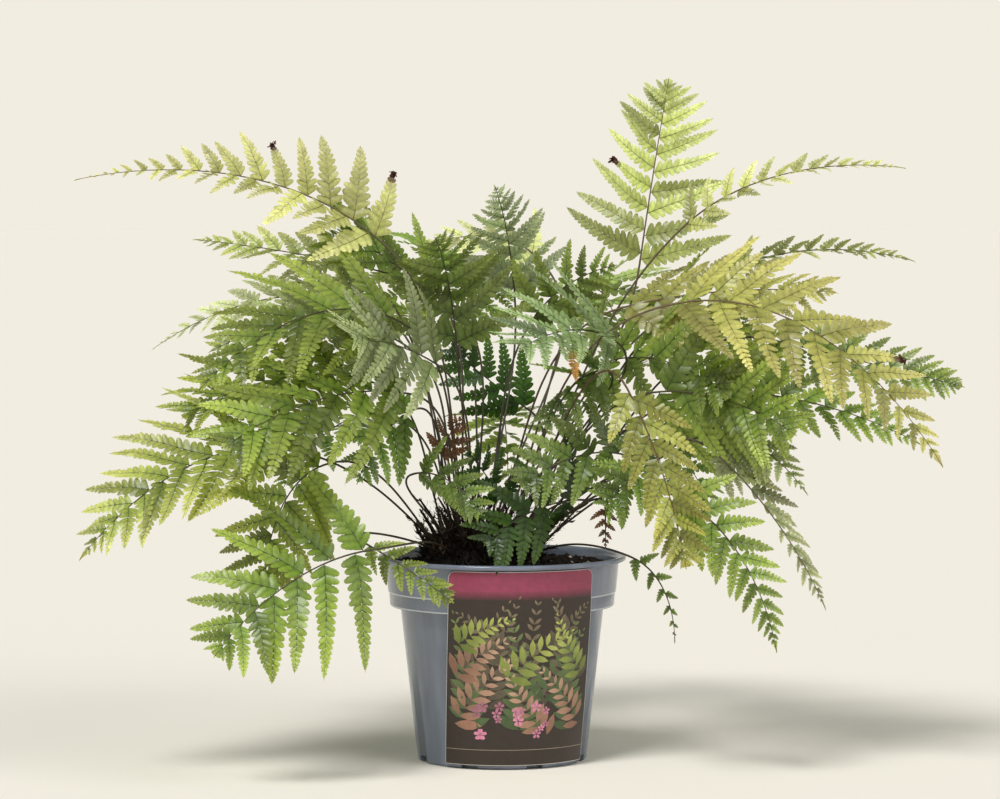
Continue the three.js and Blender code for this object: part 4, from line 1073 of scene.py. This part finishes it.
def card_piece(card_material, print_material):
    half = CARD_WIDTH / 2
    columns, rows = 64, 60
    shoulder = CARD_TOP - CARD_CORNER
    turn = np.linspace(0.2, math.pi / 2, 8)
    upright = np.linspace(CARD_FOOT, shoulder, rows)
    zs = np.concatenate([upright, shoulder + CARD_CORNER * np.sin(turn)])
    rise = np.clip(zs - shoulder, 0, None)
    inset = CARD_CORNER - np.sqrt(np.clip(CARD_CORNER**2 - rise**2, 0, None))
    across = np.linspace(-1, 1, columns)
    x = across * (half - inset[:, None])
    front, back = (on_card(x, zs[:, None], lift).reshape(-1, 3) for lift in (0, -CARD_THICKNESS))
    total = len(zs)
    n = total * columns
    faces = []
    for r in range(total - 1):
        for c in range(columns - 1):
            a = r * columns + c
            faces.append((a, a + 1, a + 1 + columns, a + columns))
            faces.append((n + a + 1, n + a, n + a + columns, n + a + 1 + columns))
        a, b = r * columns, r * columns + columns - 1
        faces.append((n + a, a, a + columns, n + a + columns))
        faces.append((b, n + b, n + b + columns, b + columns))
    for c in range(columns - 1):
        faces.append((c + 1, c, n + c, n + c + 1))
        t = (total - 1) * columns + c
        faces.append((t, t + 1, n + t + 1, n + t))
    card = new_mesh("plant_card", np.concatenate([front, back]), faces, [card_material])
    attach(card, "root")
    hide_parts("label_card")
    printed = card_print(half)
    piece = printed.build("card_artwork", [print_material], smooth=True)
    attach(piece, "root")


def panel(shape, x0, x1, z0, z1, lift, colour, corner=0.0):
    """A printed rectangle that follows the card, with round upper corners if asked."""
    columns = max(2, int((x1 - x0) / 2))
    zs = list(np.linspace(z0, z1 - corner, max(2, int((z1 - z0) / 3))))
    if corner:
        zs += [z1 - corner * (1 - math.sin(a)) for a in np.linspace(0.25, math.pi / 2, 7)]
    rows = []
    for z in zs:
        rise = max(0.0, z - (z1 - corner))
        inset = corner - math.sqrt(max(0.0, corner**2 - rise**2)) if corner else 0.0
        x = np.linspace(x0 + inset, x1 - inset, columns)
        rows.append(on_card(x, np.full(columns, z), lift))
    points = np.concatenate(rows)
    faces = []
    for r in range(len(zs) - 1):
        for c in range(columns - 1):
            a = r * columns + c
            faces += [(a, a + 1, a + 1 + columns), (a, a + 1 + columns, a + columns)]
    shape.add(points, faces, colour)


def sprig(shape, foot, heading, length, bend, leaf, tones, lift, rng):
    """A printed sprig: a curved stem with pairs of pointed oval leaves."""
    steps = 40
    s = np.linspace(0, 1, steps)
    angle = heading + bend * s
    x = foot[0] + np.concatenate([[0], np.cumsum(np.sin(angle[:-1]))]) * length / steps
    z = foot[1] + np.concatenate([[0], np.cumsum(np.cos(angle[:-1]))]) * length / steps
    near, far = np.array(tones[0]), np.array(tones[1])
    pairs = max(6, int(length / (leaf * 0.36)))
    for i in range(pairs + 1):
        u = 0.1 + 0.9 * i / pairs
        k = min(steps - 1, int(u * (steps - 1)))
        reach = leaf * (1 - u * 0.82) * rng.uniform(0.9, 1.08)
        for side in (1, -1):
            turn = angle[k] + side * (1.15 - 0.5 * u) * (i < pairs)
            ux, uz = math.sin(turn), math.cos(turn)
            along, across = (LEAF_OUTLINE * reach * (1, 0.2)).T
            px = x[k] + along * ux + across * uz
            pz = z[k] + along * uz - across * ux
            inside = (np.abs(px) < CARD_WIDTH / 2 - 1.2) & (pz > CARD_FOOT + FOOTER_HEIGHT + 0.5)
            inside &= pz < CARD_TOP - HEADER_HEIGHT - 0.5
            if not inside.all():
                continue
            points = on_card(px, pz, lift + (0.006 if side > 0 else 0))
            tone = (near * (1 - u) + far * u) * rng.uniform(0.85, 1.15)
            shape.add(points, LEAF_FACES, tone * LEAF_SHADE)


def blossom(shape, centre, size, lift, colour):
    for petal in range(5):
        a = petal / 5 * 2 * math.pi
        along, across = (PETAL * size).T
        px = centre[0] + along * math.sin(a) + across * math.cos(a)
        pz = centre[1] + along * math.cos(a) - across * math.sin(a)
        shape.add(on_card(px, pz, lift), [(0, 2, 1), (0, 3, 2), (0, 4, 3)], colour)


def card_print(half):
    """The print on the card: a magenta band, leafy sprigs and small flowers on a dark ground."""
    rng = np.random.default_rng(PRINT_SEED)
    shape = Shape()
    edge = half - PRINT_MARGIN
    foot, top = CARD_FOOT + PRINT_MARGIN, CARD_TOP - PRINT_MARGIN
    header = top - HEADER_HEIGHT
    corner = CARD_CORNER - PRINT_MARGIN
    raised = PRINT_LIFT + PRINT_STEP
    panel(shape, -edge, edge, foot, top, PRINT_LIFT, CARD_DARK, corner)
    panel(shape, -edge, edge, header, top, raised, MAGENTA, corner)
    for i in range(5):
        fade = np.array(MAGENTA) * (0.8 - 0.16 * i) + np.array(CARD_DARK) * (0.2 + 0.16 * i)
        ledge = header - FADE_STEP * i
        panel(shape, -edge, edge, ledge - FADE_STEP, ledge, raised, fade)
    line = CARD_FOOT + FOOTER_HEIGHT - 6
    panel(shape, -edge, edge, line - 0.4, line, raised, FOOTLINE)
    for i, (foot, heading, length, bend, leaf, tones) in enumerate(SPRIGS):
        lift = PRINT_LIFT + PRINT_STEP * (1 + i * 0.25)
        sprig(shape, foot, heading, length, bend, leaf, tones, lift, rng)
    for i in range(16):
        spot = (rng.uniform(-34, 30), rng.uniform(24, 44))
        tone = np.array(PINK) * rng.uniform(0.6, 1.25)
        blossom(shape, spot, rng.uniform(2.2, 4.2), PRINT_LIFT + PRINT_STEP * 5.6, tone)
    return shape


def pot_material():
    """Slate plastic with faint upright streaks; painted highlights on the collar's two ridges."""
    material, nodes, links, principled = shader("pot_plastic", 0.22, 0.7)
    coordinates = nodes.new("ShaderNodeTexCoord")
    stretch = nodes.new("ShaderNodeMapping")
    stretch.inputs["Scale"].default_value = (1, 1, 0.22)
    links.new(coordinates.outputs["Object"], stretch.inputs["Vector"])
    streaks = noise_of(nodes, links, 38, 4, stretch.outputs["Vector"])
    colour = two_tones(nodes, links, streaks, (SLATE_DARK, SLATE_PALE), (0.36, 0.66))
    parts = nodes.new("ShaderNodeSeparateXYZ")
    links.new(coordinates.outputs["Object"], parts.inputs["Vector"])
    # Painted highlight: a thin pale line at the collar's foot and at its bead, where light catches the ridges.
    for height in (COLLAR_FOOT + 0.4, COLLAR_BEAD + 0.9):
        near = nodes.new("ShaderNodeMath")
        near.operation = "COMPARE"
        links.new(parts.outputs["Z"], near.inputs[0])
        near.inputs[1].default_value = height * MM
        near.inputs[2].default_value = 0.5 * MM
        ridge_highlight = nodes.new("ShaderNodeMixRGB")
        links.new(near.outputs["Value"], ridge_highlight.inputs["Fac"])
        links.new(colour, ridge_highlight.inputs["Color1"])
        ridge_highlight.inputs["Color2"].default_value = (*SLATE_RIDGE_HIGHLIGHT, 1)
        colour = ridge_highlight.outputs["Color"]
    links.new(colour, principled.inputs["Base Color"])
    fine = noise_of(nodes, links, 900, place=coordinates.outputs["Object"])
    bumpy(nodes, links, fine, principled, 0.12, 0.0003)
    return material


def card_edge_material():
    material, nodes, links, principled = shader("card_stock", 0.4)
    colour = two_tones(nodes, links, noise_of(nodes, links, 300), CARD_PALE)
    links.new(colour, principled.inputs["Base Color"])
    return material


# The camera, the floor and the light.

CAMERA_DISTANCE = 2.6
CAMERA_HEIGHT = 0.378
CAMERA_DOWN = math.radians(2.9)
FOCAL_LENGTH = 137.0
BACKGROUND = (0.887, 0.845, 0.752)
OVERHEAD = (0.21, 0.22, 0.24)
FLOOR_COLOUR = (0.844, 0.80, 0.7035)
FLOOR_REACH = 60000
FLOOR_DROP = 0.2


def make_camera():
    data = bpy.data.cameras.new("camera")
    data.lens = FOCAL_LENGTH
    data.sensor_width = 36
    data.clip_end = 200
    camera = bpy.data.objects.new("camera", data)
    camera.location = (-0.0014, -CAMERA_DISTANCE, CAMERA_HEIGHT)
    camera.rotation_euler = (math.pi / 2 - CAMERA_DOWN, 0, 0)
    bpy.context.scene.collection.objects.link(camera)
    bpy.context.scene.camera = camera


def make_stage():
    material, _, _, principled = shader("floor", 0.95, 0.0)
    principled.inputs["Base Color"].default_value = (*FLOOR_COLOUR, 1)
    corners = [(x, y, -FLOOR_DROP) for x, y in ((-1, -1), (1, -1), (1, 1), (-1, 1))]
    corners = np.array(corners) * (FLOOR_REACH, FLOOR_REACH, 1)
    floor = new_mesh("floor", corners, [[0, 1, 2, 3]], [material])
    world = bpy.data.worlds.new("studio")
    bpy.context.scene.world = world
    world.use_nodes = True
    nodes, links = world.node_tree.nodes, world.node_tree.links
    # Pale all round near the horizon and dimmer overhead, where the lamps do the work.
    direction = nodes.new("ShaderNodeTexCoord")
    parts = nodes.new("ShaderNodeSeparateXYZ")
    links.new(direction.outputs["Generated"], parts.inputs["Vector"])
    colour = two_tones(nodes, links, parts.outputs["Z"], (BACKGROUND, OVERHEAD), (0.12, 0.4))
    links.new(colour, nodes["Background"].inputs["Color"])
    sun("key", (-0.4, -0.7, 1.1), 2.35, 20)
    sun("fill", (0.75, -0.6, 0.7), 1.0, 40)


def sun(name, toward, strength, angle):
    """A distant soft lamp that shines from the given direction."""
    data = bpy.data.lights.new(name, "SUN")
    data.energy = strength
    data.angle = math.radians(angle)
    lamp = bpy.data.objects.new(name, data)
    lamp.rotation_euler = Vector(toward).to_track_quat("Z", "Y").to_euler()
    bpy.context.scene.collection.objects.link(lamp)


def make_fern():
    roots = planned_roots()
    leaf = leaf_material("leaf", 0.34, 0.32)
    stalk = tinted_material("stalk", 0.5, 700, 0.3, 0.0004)
    earth = tinted_material("peat", 0.95, 900, 0.6, 0.001, 0.2)
    scales = tinted_material("scales", 0.7, 1200, 0.4, 0.0005, 0.3)
    card_ink = tinted_material("card_ink", 0.36, 240, 0.05, 0.0001, 0.5, 0.1)
    make_camera()
    make_stage()
    pot_piece(pot_material())
    card_piece(card_edge_material(), card_ink)
    soil_piece(earth)
    crown_piece(scales)
    for index, row in enumerate(FRONDS):
        frond_piece(Frond(row, roots[index]), index, [leaf, stalk])


make_fern()
bpy.context.scene.view_settings.view_transform = "Standard"
